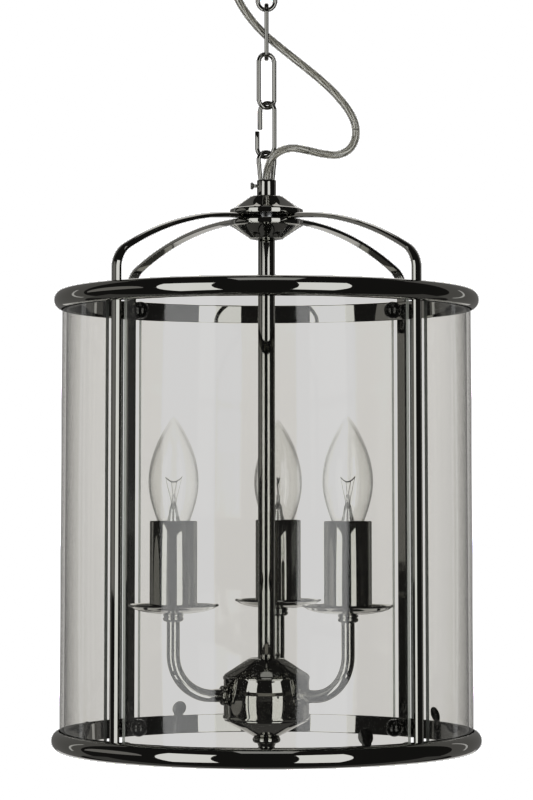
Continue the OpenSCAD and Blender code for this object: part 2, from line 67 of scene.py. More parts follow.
Point = Sequence[float]
Outline = Sequence[tuple[float, float]]


class Body(Enum):
    """Bodies of the frame that pieces ride on."""

    CEILING = "ceiling_fitting"
    LINK_1 = "first_link"
    LINK_2 = "second_link"
    LINK_3 = "third_link"
    OPEN_LINK = "open_link_body"
    LANTERN = "lantern"
    THUMB_SCREW = "thumb_screw_body"
    LAMP_1 = "lamp_1"
    LAMP_2 = "lamp_2"
    LAMP_3 = "lamp_3"


class Slot(Enum):
    """Material slot names; no piece here takes its finish from them."""

    NICKEL = "black_nickel"
    PANE = "clear_glass"
    LAMP = "lamp_glass"
    CAP = "lamp_cap"
    FILAMENT = "filament"
    FLEX = "flex_clear"
    BLACK = "black_plastic"


# ---- shader graphs ----


class Signal:
    """A shader output that takes part in ordinary arithmetic."""

    def __init__(self, graph: "Graph", socket: bpy.types.NodeSocket) -> None:
        """Wraps an output socket of a graph."""
        self.graph = graph
        self.socket = socket

    def math(self, operation: str, *others: object) -> "Signal":
        """Adds one Math node on this signal.

        Args:
            operation: The Math node's operation.
            others: Numbers or signals for its further inputs.

        Returns:
            The node's value.
        """
        inputs = dict(enumerate((self, *others)))
        return self.graph.out("ShaderNodeMath", {"operation": operation}, inputs)

    def __add__(self, other: object) -> "Signal":
        """Sum."""
        return self.math("ADD", other)

    __radd__ = __add__

    def __mul__(self, other: object) -> "Signal":
        """Product."""
        return self.math("MULTIPLY", other)

    __rmul__ = __mul__

    def __sub__(self, other: object) -> "Signal":
        """Difference."""
        return self.math("SUBTRACT", other)

    def __rsub__(self, other: float) -> "Signal":
        """A number less this signal."""
        return (self * -1.0) + other

    def __pow__(self, other: float) -> "Signal":
        """Power."""
        return self.math("POWER", other)

    def above(self, level: float) -> "Signal":
        """1 where the signal is above a level, and 0 elsewhere."""
        return self.math("GREATER_THAN", level)

    def below(self, level: float) -> "Signal":
        """1 where the signal is below a level, and 0 elsewhere."""
        return self.math("LESS_THAN", level)


class Graph:
    """A node tree, filled with one method for every kind of node."""

    def __init__(self, tree: bpy.types.NodeTree) -> None:
        """Starts an empty tree."""
        self.tree = tree
        tree.nodes.clear()

    def node(
        self, kind: str, settings: Optional[dict] = None, inputs: Optional[dict] = None
    ) -> bpy.types.Node:
        """Adds a node.

        Args:
            kind: The node's type.
            settings: Properties set first, such as a Math node's operation.
            inputs: Values, signals or nodes by socket name or number.

        Returns:
            The new node.
        """
        made = self.tree.nodes.new(kind)
        for name, value in (settings or {}).items():
            setattr(made, name, value)
        for name, value in (inputs or {}).items():
            socket = made.inputs[name]
            if isinstance(value, Signal):
                self.tree.links.new(value.socket, socket)
            elif isinstance(value, bpy.types.Node):
                self.tree.links.new(value.outputs[0], socket)
            else:
                socket.default_value = value
        return made

    def out(
        self,
        kind: str,
        settings: Optional[dict] = None,
        inputs: Optional[dict] = None,
        output: object = 0,
    ) -> Signal:
        """Adds a node and returns one of its outputs as a signal."""
        return Signal(self, self.node(kind, settings, inputs).outputs[output])

    def place(self, scale: Point = (1.0, 1.0, 1.0)) -> Signal:
        """Object coordinates, stretched by a scale."""
        where = self.out("ShaderNodeTexCoord", output="Object")
        return self.stretch(where, scale)

    def stretch(self, where: Signal, scale: Point) -> Signal:
        """Coordinates times a scale."""
        return self.out("ShaderNodeMapping", inputs={"Vector": where, "Scale": scale})

    def noise(self, where: Signal, scale: float, detail: float = 2.0) -> Signal:
        """Noise of a scale, in cycles a metre, from about 0.3 to 0.7."""
        return self.out(
            "ShaderNodeTexNoise", inputs={"Vector": where, "Scale": scale, "Detail": detail}
        )

    def blend(self, share: object, first: Point, second: Point) -> Signal:
        """Mixes two colours.

        Args:
            share: How much of the second colour, from 0 to 1.
            first: The colour at 0.
            second: The colour at 1.

        Returns:
            The mixed colour.
        """
        return self.out(
            "ShaderNodeMix",
            {"data_type": "RGBA"},
            {0: share, 6: (*first, 1.0), 7: (*second, 1.0)},
            2,
        )

    def bump(self, height: Signal, strength: float, distance: float) -> Signal:
        """A normal that a height tilts."""
        return self.out(
            "ShaderNodeBump",
            inputs={"Height": height, "Strength": strength, "Distance": distance},
        )

    def facing(self) -> Signal:
        """0 where a surface faces the ray, and 1 at its rim."""
        return self.out("ShaderNodeLayerWeight", inputs={"Blend": 0.5}, output="Facing")

    def solid(self, inputs: dict) -> bpy.types.Node:
        """Adds a Principled shader with some of its inputs set."""
        return self.node("ShaderNodeBsdfPrincipled", inputs=inputs)

    def over_clear(self, share: Signal, tint: Point, face: bpy.types.Node) -> bpy.types.Node:
        """Mixes a see-through shader of a tint with a face that covers a share of it."""
        through = self.node("ShaderNodeBsdfTransparent", inputs={"Color": (*tint, 1.0)})
        return self.node("ShaderNodeMixShader", inputs={0: share, 1: through, 2: face})

    def finish(self, surface: bpy.types.Node, kind: str = "Material") -> None:
        """Joins a shader to the tree's output."""
        self.node("ShaderNodeOutput" + kind, inputs={"Surface": surface})


@dataclass(frozen=True)
class Finish:
    """A named surface finish, made into a material once."""

    name: str

    def material(self) -> bpy.types.Material:
        """Makes the finish's material at its first use.

        Returns:
            The material, the same one at each call.
        """
        known = bpy.data.materials.get(self.name)
        if known is not None:
            return known
        made = bpy.data.materials.new(self.name)
        made.use_nodes = True
        self.fill(Graph(made.node_tree))
        return made

    def fill(self, graph: Graph) -> None:
        """Builds the finish's nodes in a graph."""
        raise NotImplementedError


@dataclass(frozen=True)
class Plating(Finish):
    """Polished plating: a dark or light metal with faint handling marks."""

    colour: Point = (0.40, 0.392, 0.372)
    tint: Point = (0.34, 0.345, 0.31)
    polish: float = 0.025
    smear: float = 0.05
    ripple: float = 0.02
    cloud_scale: float = 34.0
    mark_scale: float = 210.0
    mark_stretch: Point = (1.0, 1.0, 0.35)
    ripple_scale: float = 75.0
    ripple_depth: float = 0.001

    def fill(self, graph: Graph) -> None:
        """Cloudy colour, smeared roughness and the ripple of polished sheet.

        Args:
            graph: The material's empty node tree.
        """
        where = graph.place()
        cloud = graph.noise(where, self.cloud_scale)
        marks = graph.noise(graph.place(self.mark_stretch), self.mark_scale, detail=5.0)
        ripple = graph.noise(where, self.ripple_scale, detail=1.0)
        graph.finish(graph.solid({
            "Base Color": graph.blend(cloud, self.colour, self.tint),
            "Metallic": 1.0,
            "Roughness": self.polish + self.smear * (marks ** 4.0),
            "Normal": graph.bump(ripple, self.ripple, self.ripple_depth),
        }))


@dataclass(frozen=True)
class BrightSteel(Finish):
    """Zinc or rolled metal with fine drawn lines and a cloudy bloom."""

    colour: Point = (0.62, 0.63, 0.64)
    dull: Point = (0.46, 0.47, 0.47)
    roughness: float = 0.24
    line_scale: float = 900.0
    line_stretch: Point = (1.0, 1.0, 0.05)
    line_height: float = 0.12
    cloud_scale: float = 120.0

    def fill(self, graph: Graph) -> None:
        """Drawn lines along z under a cloudy colour.

        Args:
            graph: The material's empty node tree.
        """
        lines = graph.noise(graph.place(self.line_stretch), self.line_scale, detail=3.0)
        cloud = graph.noise(graph.place(), self.cloud_scale, detail=4.0)
        graph.finish(graph.solid({
            "Base Color": graph.blend(cloud, self.colour, self.dull),
            "Metallic": 1.0,
            "Roughness": self.roughness + 0.2 * (lines - 0.5),
            "Normal": graph.bump(lines, self.line_height, FINE_DEPTH),
        }))


@dataclass(frozen=True)
class ClearGlass(Finish):
    """Clear glass: light passes straight through, and the face mirrors more at its rim."""

    tint: Point = (0.985, 0.984, 0.975)
    front_mirror: float = 0.047
    rim_mirror: float = 0.9
    rim_power: float = 5.0
    film: float = 0.012
    blur: float = 0.07
    film_scale: float = 26.0
    film_stretch: Point = (1.0, 1.0, 0.3)
    mirror_colour: Point = (0.96, 0.97, 0.97)

    def fill(self, graph: Graph) -> None:
        """A see-through shader under a mirror that grows towards the rim.

        Args:
            graph: The material's empty node tree.
        """
        film = graph.noise(graph.place(self.film_stretch), self.film_scale, detail=4.0)
        mirror = (
            self.front_mirror
            + (self.rim_mirror - self.front_mirror) * (graph.facing() ** self.rim_power)
            + self.film * film
        )
        face = graph.solid({
            "Base Color": (*self.mirror_colour, 1.0),
            "Metallic": 1.0,
            "Roughness": self.blur * (0.85 + 0.3 * film),
        })
        graph.finish(graph.over_clear(mirror, self.tint, face))


@dataclass(frozen=True)
class GroundEdge(Finish):
    """The ground edge of a pane: greenish, dull and half clear."""

    colour: Point = (0.12, 0.125, 0.112)
    speckle: Point = (0.22, 0.23, 0.21)
    clear: float = 0.5
    clear_tint: Point = (0.8, 0.85, 0.82)
    grind_scale: float = 1400.0
    grind_height: float = 0.3

    def fill(self, graph: Graph) -> None:
        """A dull dark green body, partly see-through.

        Args:
            graph: The material's empty node tree.
        """
        grind = graph.noise(graph.place(), self.grind_scale, detail=3.0)
        body = graph.solid({
            "Base Color": graph.blend(grind, self.colour, self.speckle),
            "Roughness": 0.3 + 0.25 * grind,
            "Normal": graph.bump(grind, self.grind_height, FINE_DEPTH),
        })
        graph.finish(graph.over_clear(1.0 - self.clear * grind, self.clear_tint, body))


@dataclass(frozen=True)
class Moulded(Finish):
    """Moulded plastic with a faint grain."""

    colour: Point = (0.8, 0.79, 0.74)
    shade: Point = (0.7, 0.69, 0.64)
    roughness: float = 0.32
    grain_scale: float = 1600.0
    grain_height: float = 0.15
    cloud_scale: float = 60.0

    def fill(self, graph: Graph) -> None:
        """A grained, slightly uneven plastic.

        Args:
            graph: The material's empty node tree.
        """
        grain = graph.noise(graph.place(), self.grain_scale, detail=2.0)
        cloud = graph.noise(graph.place(), self.cloud_scale, detail=3.0)
        graph.finish(graph.solid({
            "Base Color": graph.blend(cloud, self.colour, self.shade),
            "Roughness": self.roughness + 0.2 * (grain - 0.5),
            "Normal": graph.bump(grain, self.grain_height, FINE_DEPTH),
        }))


@dataclass(frozen=True)
class SilverCore(Finish):
    """Tinned strands of a flex core, twisted, with painted shade in dark bands between them."""

    colour: Point = (0.74, 0.73, 0.69)
    shade: Point = (0.16, 0.155, 0.135)
    strand_stretch: Point = (2.0, 0.12, 1.0)
    strand_height: float = 0.35
    strand_depth: float = 0.0003
    cloud_scale: float = 130.0
    metal: float = 0.55

    def fill(self, graph: Graph) -> None:
        """Fine strands along the core's own length; their dark bands are painted shade and painted
        dark reflection.

        Args:
            graph: The material's empty node tree.
        """
        along = graph.out("ShaderNodeUVMap", {"uv_map": RUN_UV})
        strands = graph.out(
            "ShaderNodeTexWave",
            {"wave_type": "BANDS", "bands_direction": "DIAGONAL"},
            {
                "Vector": graph.stretch(along, self.strand_stretch),
                "Scale": 1.0,
                "Distortion": 0.6,
                "Detail": 1.0,
            },
            "Fac",
        )
        cloud = graph.noise(graph.place(), self.cloud_scale, detail=2.0)
        graph.finish(graph.solid({
            # Base colour runs from the painted shade between strands to the tinned colour, mixed
            # with a random cloud.
            "Base Color": graph.blend(strands * 0.5 + cloud * 0.5, self.shade, self.colour),
            "Metallic": self.metal,
            "Roughness": 0.28 + 0.1 * strands,
            "Normal": graph.bump(strands, self.strand_height, self.strand_depth),
        }))


@dataclass(frozen=True)
class StudioFloor(Finish):
    """A pale studio floor."""

    colour: Point = (0.84, 0.84, 0.84)
    shade: Point = (0.8, 0.8, 0.8)
    mottle_scale: float = 2.2

    def fill(self, graph: Graph) -> None:
        """Pale, with a faint wide mottle.

        Args:
            graph: The material's empty node tree.
        """
        mottle = graph.noise(graph.place(), self.mottle_scale, detail=5.0)
        graph.finish(graph.solid({
            "Base Color": graph.blend(mottle, self.colour, self.shade),
            "Roughness": 0.6 + 0.2 * mottle,
        }))


NICKEL = Plating("black_nickel_plate")
# Painted shade: a near-black, rougher copy of the nickel plate that stands in for the dark room
# the nuts and clips mirror.
SHADED_NICKEL = Plating("nickel_nut_painted_shade", (0.06, 0.06, 0.057), (0.045, 0.045, 0.042), 0.12)
ZINC = BrightSteel("bright_zinc")
TIN = BrightSteel("rolled_tin", (0.78, 0.77, 0.74), (0.6, 0.59, 0.56), 0.3)
WIRE = BrightSteel("fine_wire", (0.3, 0.29, 0.28), (0.18, 0.18, 0.18), 0.35)
PANE_GLASS = ClearGlass("pane_glass")
PANE_EDGE = GroundEdge("pane_edge")
# Painted shade: a darker, less clear copy of the ground edge, for the side panes 1 and 3 only.
SHADED_PANE_EDGE = GroundEdge("pane_edge_painted_shade", (0.02, 0.021, 0.018), (0.035, 0.037, 0.032), 0.12)
LAMP_GLASS = ClearGlass("blown_glass", (0.985, 0.985, 0.98), 0.04, 0.95, 3.4, 0.006, 0.02)
MOUNT_GLASS = ClearGlass("mount_glass", (0.85, 0.85, 0.84), 0.45, 0.95, 1.2, 0.1, 0.12)
SHEATH = ClearGlass("flex_sheath", (0.84, 0.835, 0.80), 0.06, 0.92, 1.0, 0.02, 0.06)
CORE = SilverCore("flex_core")
BLACK_PLASTIC = Moulded("black_moulding", (0.025, 0.025, 0.025), (0.04, 0.04, 0.04), 0.4)
WHITE_PLASTIC = Moulded("white_moulding")
FLOOR = StudioFloor("studio_floor")


# ---- shaping ----


class Former:
    """A mesh in the making, with the steps that turned, drawn and bent pieces share."""

    def __init__(self) -> None:
        """Starts with nothing."""
        self.bm = bmesh.new()

    def outline(self, points: Iterable[Point], closed: bool = False) -> list:
        """Joins points with edges.

        Args:
            points: Corners in order.
            closed: True to join the last corner to the first.

        Returns:
            The new edges.
        """
        verts = [self.bm.verts.new(p) for p in points]
        pairs = list(zip(verts, verts[1:]))
        if closed:
            pairs.append((verts[-1], verts[0]))
        return [self.bm.edges.new(pair) for pair in pairs]

    def ring_of(self, radius: float, sides: int, place: Matrix) -> list:
        """Adds a round section of wire or tube.

        Args:
            radius: The section's radius.
            sides: Edges round it.
            place: Where it goes, from a circle flat on the ground at the origin.

        Returns:
            The new edges.
        """
        made = bmesh.ops.create_circle(
            self.bm, cap_ends=False, radius=radius, segments=sides, matrix=place
        )
        return list(dict.fromkeys(e for v in made["verts"] for e in v.link_edges))

    @staticmethod
    def _edges(geom: Iterable) -> list:
        """The edges among some geometry."""
        return [g for g in geom if isinstance(g, bmesh.types.BMEdge)]

    @staticmethod
    def _verts(geom: Iterable) -> list:
        """The points among some geometry."""
        return [g for g in geom if isinstance(g, bmesh.types.BMVert)]

    def _spin(
        self, edges: list, centre: Point, axis: Point, angle: float, steps: int, full: bool
    ) -> list:
        """Sweeps edges round an axis.

        Args:
            edges: The section to sweep.
            centre: A point on the axis.
            axis: The axis's direction.
            angle: How far, in radians.
            steps: Faces along the sweep.
            full: True for a full turn, whose last section meets the first.

        Returns:
            The edges at the far end.
        """
        verts = list(dict.fromkeys(v for e in edges for v in e.verts))
        made = bmesh.ops.spin(
            self.bm, geom=verts + edges, cent=centre, axis=axis, angle=angle,
            steps=steps, use_merge=full, use_duplicate=False,
        )
        return self._edges(made["geom_last"])

    def turn(self, edges: list, steps: int) -> None:
        """Turns an outline all the way round the vertical through the origin."""
        self._spin(edges, (0, 0, 0), (0, 0, 1), math.tau, steps, True)

    def bend(
        self, edges: list, centre: Point, axis: Point, angle: float, steps: int
    ) -> list:
        """Sweeps a section round part of a circle, in radians, and returns its far edges."""
        return self._spin(edges, centre, axis, angle, steps, False)

    def draw(self, edges: list, offset: Point) -> list:
        """Draws a section out in a straight line.

        Args:
            edges: The section.
            offset: How far and which way.

        Returns:
            The edges at the far end.
        """
        made = bmesh.ops.extrude_edge_only(self.bm, edges=edges)["geom"]
        verts = self._verts(made)
        bmesh.ops.translate(self.bm, verts=verts, vec=offset)
        fresh = set(verts)
        return [e for e in self._edges(made) if all(v in fresh for v in e.verts)]

    def cap(self, edges: list) -> None:
        """Closes an open section with a face."""
        bmesh.ops.contextual_create(self.bm, geom=edges)

    def merge(self, distance: float = 2e-6) -> None:
        """Welds points that lie on each other."""
        bmesh.ops.remove_doubles(self.bm, verts=self.bm.verts[:], dist=distance)

    def soften(self, width: float, above: float = 35.0) -> None:
        """Rounds sharp edges.

        Args:
            width: Width of the rounding.
            above: Edges that turn by more than this many degrees are rounded.
        """
        self.merge()
        limit = math.radians(above)
        sharp = [
            e for e in self.bm.edges
            if len(e.link_faces) == 2 and e.calc_face_angle(0.0) > limit
        ]
        bmesh.ops.bevel(
            self.bm, geom=sharp, offset=width, affect="EDGES", segments=2,
            profile=0.5, material=-1, clamp_overlap=True,
        )

    def block(self, size: Point, centre: Point) -> None:
        """Adds a box of a size about a centre."""
        place = Matrix.Translation(centre) @ Matrix.Diagonal((*size, 1.0))
        bmesh.ops.create_cube(self.bm, size=1.0, matrix=place)

    def disc(
        self,
        radius: float,
        depth: float,
        place: Matrix,
        sides: int = 40,
        top: Optional[float] = None,
    ) -> None:
        """Adds a short cylinder or cone about the z axis.

        Args:
            radius: Radius of its foot.
            depth: Its height.
            place: Where its middle goes.
            sides: Faces round it.
            top: Radius of its top, where that isn't the foot's.
        """
        bmesh.ops.create_cone(
            self.bm, cap_ends=True, cap_tris=False, segments=sides, radius1=radius,
            radius2=radius if top is None else top, depth=depth, matrix=place,
        )

    def move(self, place: Matrix) -> None:
        """Moves everything by a matrix."""
        bmesh.ops.transform(self.bm, matrix=place, verts=self.bm.verts[:])

    def copies(self, places: Sequence[Matrix]) -> None:
        """Repeats what is there at each of several places, instead of where it was.

        Args:
            places: One matrix for each copy.
        """
        first = self.bm.verts[:] + self.bm.edges[:] + self.bm.faces[:]
        for place in places[1:]:
            made = bmesh.ops.duplicate(self.bm, geom=first)["geom"]
            bmesh.ops.transform(self.bm, matrix=place, verts=self._verts(made))
        bmesh.ops.transform(self.bm, matrix=places[0], verts=self._verts(first))

    def piece(
        self,
        name: str,
        stands_for: Sequence[str],
        body: Body = Body.LANTERN,
        finishes: Sequence[Finish] = (NICKEL,),
        sharp: float = 40.0,
    ) -> None:
        """Makes the shape a finished piece that rides on a body.

        Args:
            name: The piece's name.
            stands_for: CAD nodes that it replaces.
            body: The body it rides on.
            finishes: Its materials, in the order of the faces' material numbers.
            sharp: Edges sharper than this many degrees stay crisp.
        """
        self.merge()
        bmesh.ops.recalc_face_normals(self.bm, faces=self.bm.faces[:])
        limit = math.radians(sharp)
        for edge in self.bm.edges:
            edge.smooth = len(edge.link_faces) != 2 or edge.calc_face_angle(0.0) < limit
        for face in self.bm.faces:
            face.smooth = True
        made = self.placed(name, finishes)
        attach(made, body.value)
        if stands_for:
            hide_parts(*stands_for)
        LOG.info("%s: %d faces, on %s", name, len(made.data.polygons), body.value)

    def placed(self, name: str, finishes: Sequence[Finish]) -> bpy.types.Object:
        """Turns the shape into an object at the origin, and lets go of it.

        Args:
            name: The object's name.
            finishes: Its materials.

        Returns:
            The new object.
        """
        mesh = bpy.data.meshes.new(name)
        self.bm.to_mesh(mesh)
        self.bm.free()
        for finish in finishes:
            mesh.materials.append(finish.material())
        made = bpy.data.objects.new(name, mesh)
        bpy.context.scene.collection.objects.link(made)
        return made


def arc(
    centre: tuple[float, float], radius: float, start: float, end: float, steps: int
) -> list[tuple[float, float]]:
    """Points of an arc in a section, from one angle to another, in degrees."""
    turns = [math.radians(start + (end - start) * i / steps) for i in range(steps + 1)]
    return [(centre[0] + radius * math.cos(t), centre[1] + radius * math.sin(t)) for t in turns]


def raised(points: Outline, base: float, sign: float = 1.0) -> list[tuple[float, float]]:
    """Section points (radius, height) whose heights run up or down from a base."""
    return [(r, base + sign * h) for r, h in points]


def upright(points: Outline) -> list[tuple]:
    """Section points (radius, height) as points in the XZ plane."""
    return [(r, 0.0, z) for r, z in points]


def shift(x: float, y: float, z: float) -> Matrix:
    """A move."""
    return Matrix.Translation((x, y, z))


def about(axis: str, degrees: float) -> Matrix:
    """A turn about the X, Y or Z axis."""
    return Matrix.Rotation(math.radians(degrees), 4, axis)


def turned(
    name: str,
    points: Outline,
    nodes: Sequence[str],
    steps: int = 128,
    edge: float = 0.0,
    body: Body = Body.LANTERN,
    finish: Finish = NICKEL,
    places: Sequence[Matrix] = (Matrix.Identity(4),),
    closed: bool = True,
) -> None:
    """Makes a turned piece from half its section.

    Args:
        name: The piece's name.
        points: The section as (radius, height) corners.
        nodes: CAD nodes that it replaces.
        steps: Faces round the turn.
        edge: Width of the rounded edges, or 0 for none.
        body: The body it rides on.
        finish: Its finish.
        places: Where each copy goes.
        closed: False where the section starts and ends on the axis.
    """
    former = Former()
    former.turn(former.outline(upright(points), closed), steps)
    former.merge()
    if edge:
        former.soften(edge)
    former.copies(places)
    former.piece(name, nodes, body, [finish])


# ---- camera, light and floor ----


@dataclass(frozen=True)
class SoftBox:
    """A rectangular soft light that the camera doesn't see."""

    name: str
    size: tuple[float, float]
    place: Point
    aim: Point
    radiance: float

    def build(self) -> None:
        """Adds the light, as bright as its face's radiance and size make it."""
        data = bpy.data.lights.new(self.name, "AREA")
        data.shape = "RECTANGLE"
        data.size, data.size_y = self.size
        data.energy = self.radiance * self.size[0] * self.size[1] * math.pi
        made = bpy.data.objects.new(self.name, data)
        made.location = self.place
        facing = Vector(self.aim) - Vector(self.place)
        made.rotation_euler = facing.to_track_quat("-Z", "Y").to_euler()
        made.visible_camera = False
        bpy.context.scene.collection.objects.link(made)


@dataclass(frozen=True)
class Patch:
    """A pale part of the room that the metal mirrors, between limits of direction."""

    level: float
    x: tuple[float, float] = (-2.0, 2.0)
    y: tuple[float, float] = (-2.0, 2.0)
    z: tuple[float, float] = (-2.0, 2.0)

    def light(self, direction: Sequence[Signal]) -> Signal:
        """How bright the patch is in a direction.

        Args:
            direction: The direction's x, y and z.

        Returns:
            The patch's level inside its limits, and 0 outside them.
        """
        share = self.level
        for part, (low, high) in zip(direction, (self.x, self.y, self.z)):
            share = share * part.above(low) * part.below(high)
        return share


@dataclass
class Studio:
    """Camera, soft light and floor."""

    stand_back: float = 1.918
    eye_height: float = -0.438
    tilt: float = 5.0
    lens: float = 122.1
    sensor: float = 36.0
    shift_up: float = -0.1736
    sight: float = 60.0
    floor_height: float = -2.75
    floor_radius: float = 7.0
    floor_depth: float = 0.02
    boxes: tuple[SoftBox, ...] = (
        SoftBox("left_box", (0.76, 2.3), (-0.96118, -1.06723, -0.72), (0, -0.14, -0.72), 1.7),
        SoftBox("right_box", (0.70, 2.3), (0.70925, -1.24843, -0.72), (0, -0.14, -0.72), 1.72),
        SoftBox("top_box", (0.6, 0.8), (0, -0.5, 1.0), (0, -0.1, -0.3), 0.5),
        SoftBox("back_left_box", (0.08, 1.2), (-1.4, 0.9, -0.4), (0, 0, -0.4), 0.6),
        SoftBox("back_right_box", (0.08, 1.2), (1.3, 1.0, -0.4), (0, 0, -0.4), 0.6),
    )
    patches: tuple[Patch, ...] = (
        Patch(0.13, y=(0.42, 2.0), z=(-0.5, 0.75)),
        Patch(0.6, x=(-0.3, 0.3), y=(0.6, 2.0), z=(-0.7, -0.22)),
        Patch(0.08, y=(0.2, 0.6), z=(-2.0, -0.5)),
        Patch(0.85, x=(-0.15, 0.15), y=(0.1, 2.0), z=(0.15, 0.8)),
        Patch(0.28, x=(-2.0, -0.93), z=(-0.03, 0.45)),
    )
    room_tint: Point = (1.0, 0.975, 0.948)
    white: float = 1.2
    through_glass: float = 0.8
    fall: float = 0.9
    fall_from: float = -0.12
    fall_to: float = 0.1
    gloom: float = 0.016
    fill_light: float = 1.3
    print_curve: tuple = ((0.0, 0.0), (0.5, 0.5), (0.64, 0.605), (0.96, 0.655), (1.0, 1.0))

    def camera(self) -> None:
        """Puts the camera in front, a little below the middle, looking slightly up."""
        data = bpy.data.cameras.new("camera")
        data.lens = self.lens
        data.sensor_width = self.sensor
        data.shift_y = self.shift_up
        data.clip_end = self.sight
        made = bpy.data.objects.new("camera", data)
        made.location = (0.0, -self.stand_back, self.eye_height)
        made.rotation_euler = (math.radians(90.0 + self.tilt), 0.0, 0.0)
        bpy.context.scene.collection.objects.link(made)
        bpy.context.scene.camera = made
        LOG.info("camera in place")

    def floor(self) -> None:
        """A pale round floor, well below the lantern."""
        former = Former()
        level = shift(0, 0, self.floor_height)
        former.disc(self.floor_radius, self.floor_depth, level, sides=96)
        made = former.placed("floor", [FLOOR])
        made.visible_glossy = False

    def lights(self) -> None:
        """Two tall soft boxes in front, a low one overhead and two dim ones behind."""
        for box in self.boxes:
            box.build()
        LOG.info("soft boxes in place")

    def world(self) -> None:
        """White behind the lantern, and a dim room in what the metal mirrors."""
        world = bpy.data.worlds.new("studio")
        bpy.context.scene.world = world
        world.use_nodes = True
        world.cycles.sampling_method = "NONE"
        graph = Graph(world.node_tree)
        path = graph.node("ShaderNodeLightPath")
        seen = Signal(graph, path.outputs["Is Camera Ray"])
        soft = Signal(graph, path.outputs["Is Diffuse Ray"])
        glazed = Signal(graph, path.outputs["Transparent Depth"]).above(0.5)
        split = graph.node(
            "ShaderNodeSeparateXYZ",
            inputs={0: graph.out("ShaderNodeTexCoord", output="Generated")},
        )
        direction = [Signal(graph, output) for output in split.outputs]
        room = sum((patch.light(direction) for patch in self.patches), self.gloom)
        height = direction[2].math("MAXIMUM", self.fall_from).math("MINIMUM", self.fall_to)
        dimmed = self.through_glass * (1.0 + self.fall * height)
        backdrop = self.white * (1.0 - glazed) + dimmed * glazed
        mirrored = room * (1.0 - seen) * (1.0 - soft)
        plain = seen * (1.0 - glazed) + soft
        shader = graph.node(
            "ShaderNodeBackground",
            inputs={
                "Color": graph.blend(plain, self.room_tint, NEUTRAL),
                "Strength": backdrop * seen + self.fill_light * soft + mirrored,
            },
        )
        graph.finish(shader, "World")

    def film(self) -> None:
        """A print curve that holds bright reflections just under white."""
        scene = bpy.context.scene
        scene.cycles.transparent_max_bounces = 32
        scene.cycles.max_bounces = 12
        view = scene.view_settings
        view.view_transform = "Standard"
        view.look = "None"
        view.use_curve_mapping = True
        mapping = view.curve_mapping
        mapping.extend = "HORIZONTAL"
        curve = mapping.curves[3]
        while len(curve.points) < len(self.print_curve):
            curve.points.new(1.0, 1.0)
        for point, stop in zip(curve.points, self.print_curve):
            point.location = stop
            point.handle_type = "VECTOR"
        mapping.update()


# ---- flex ----


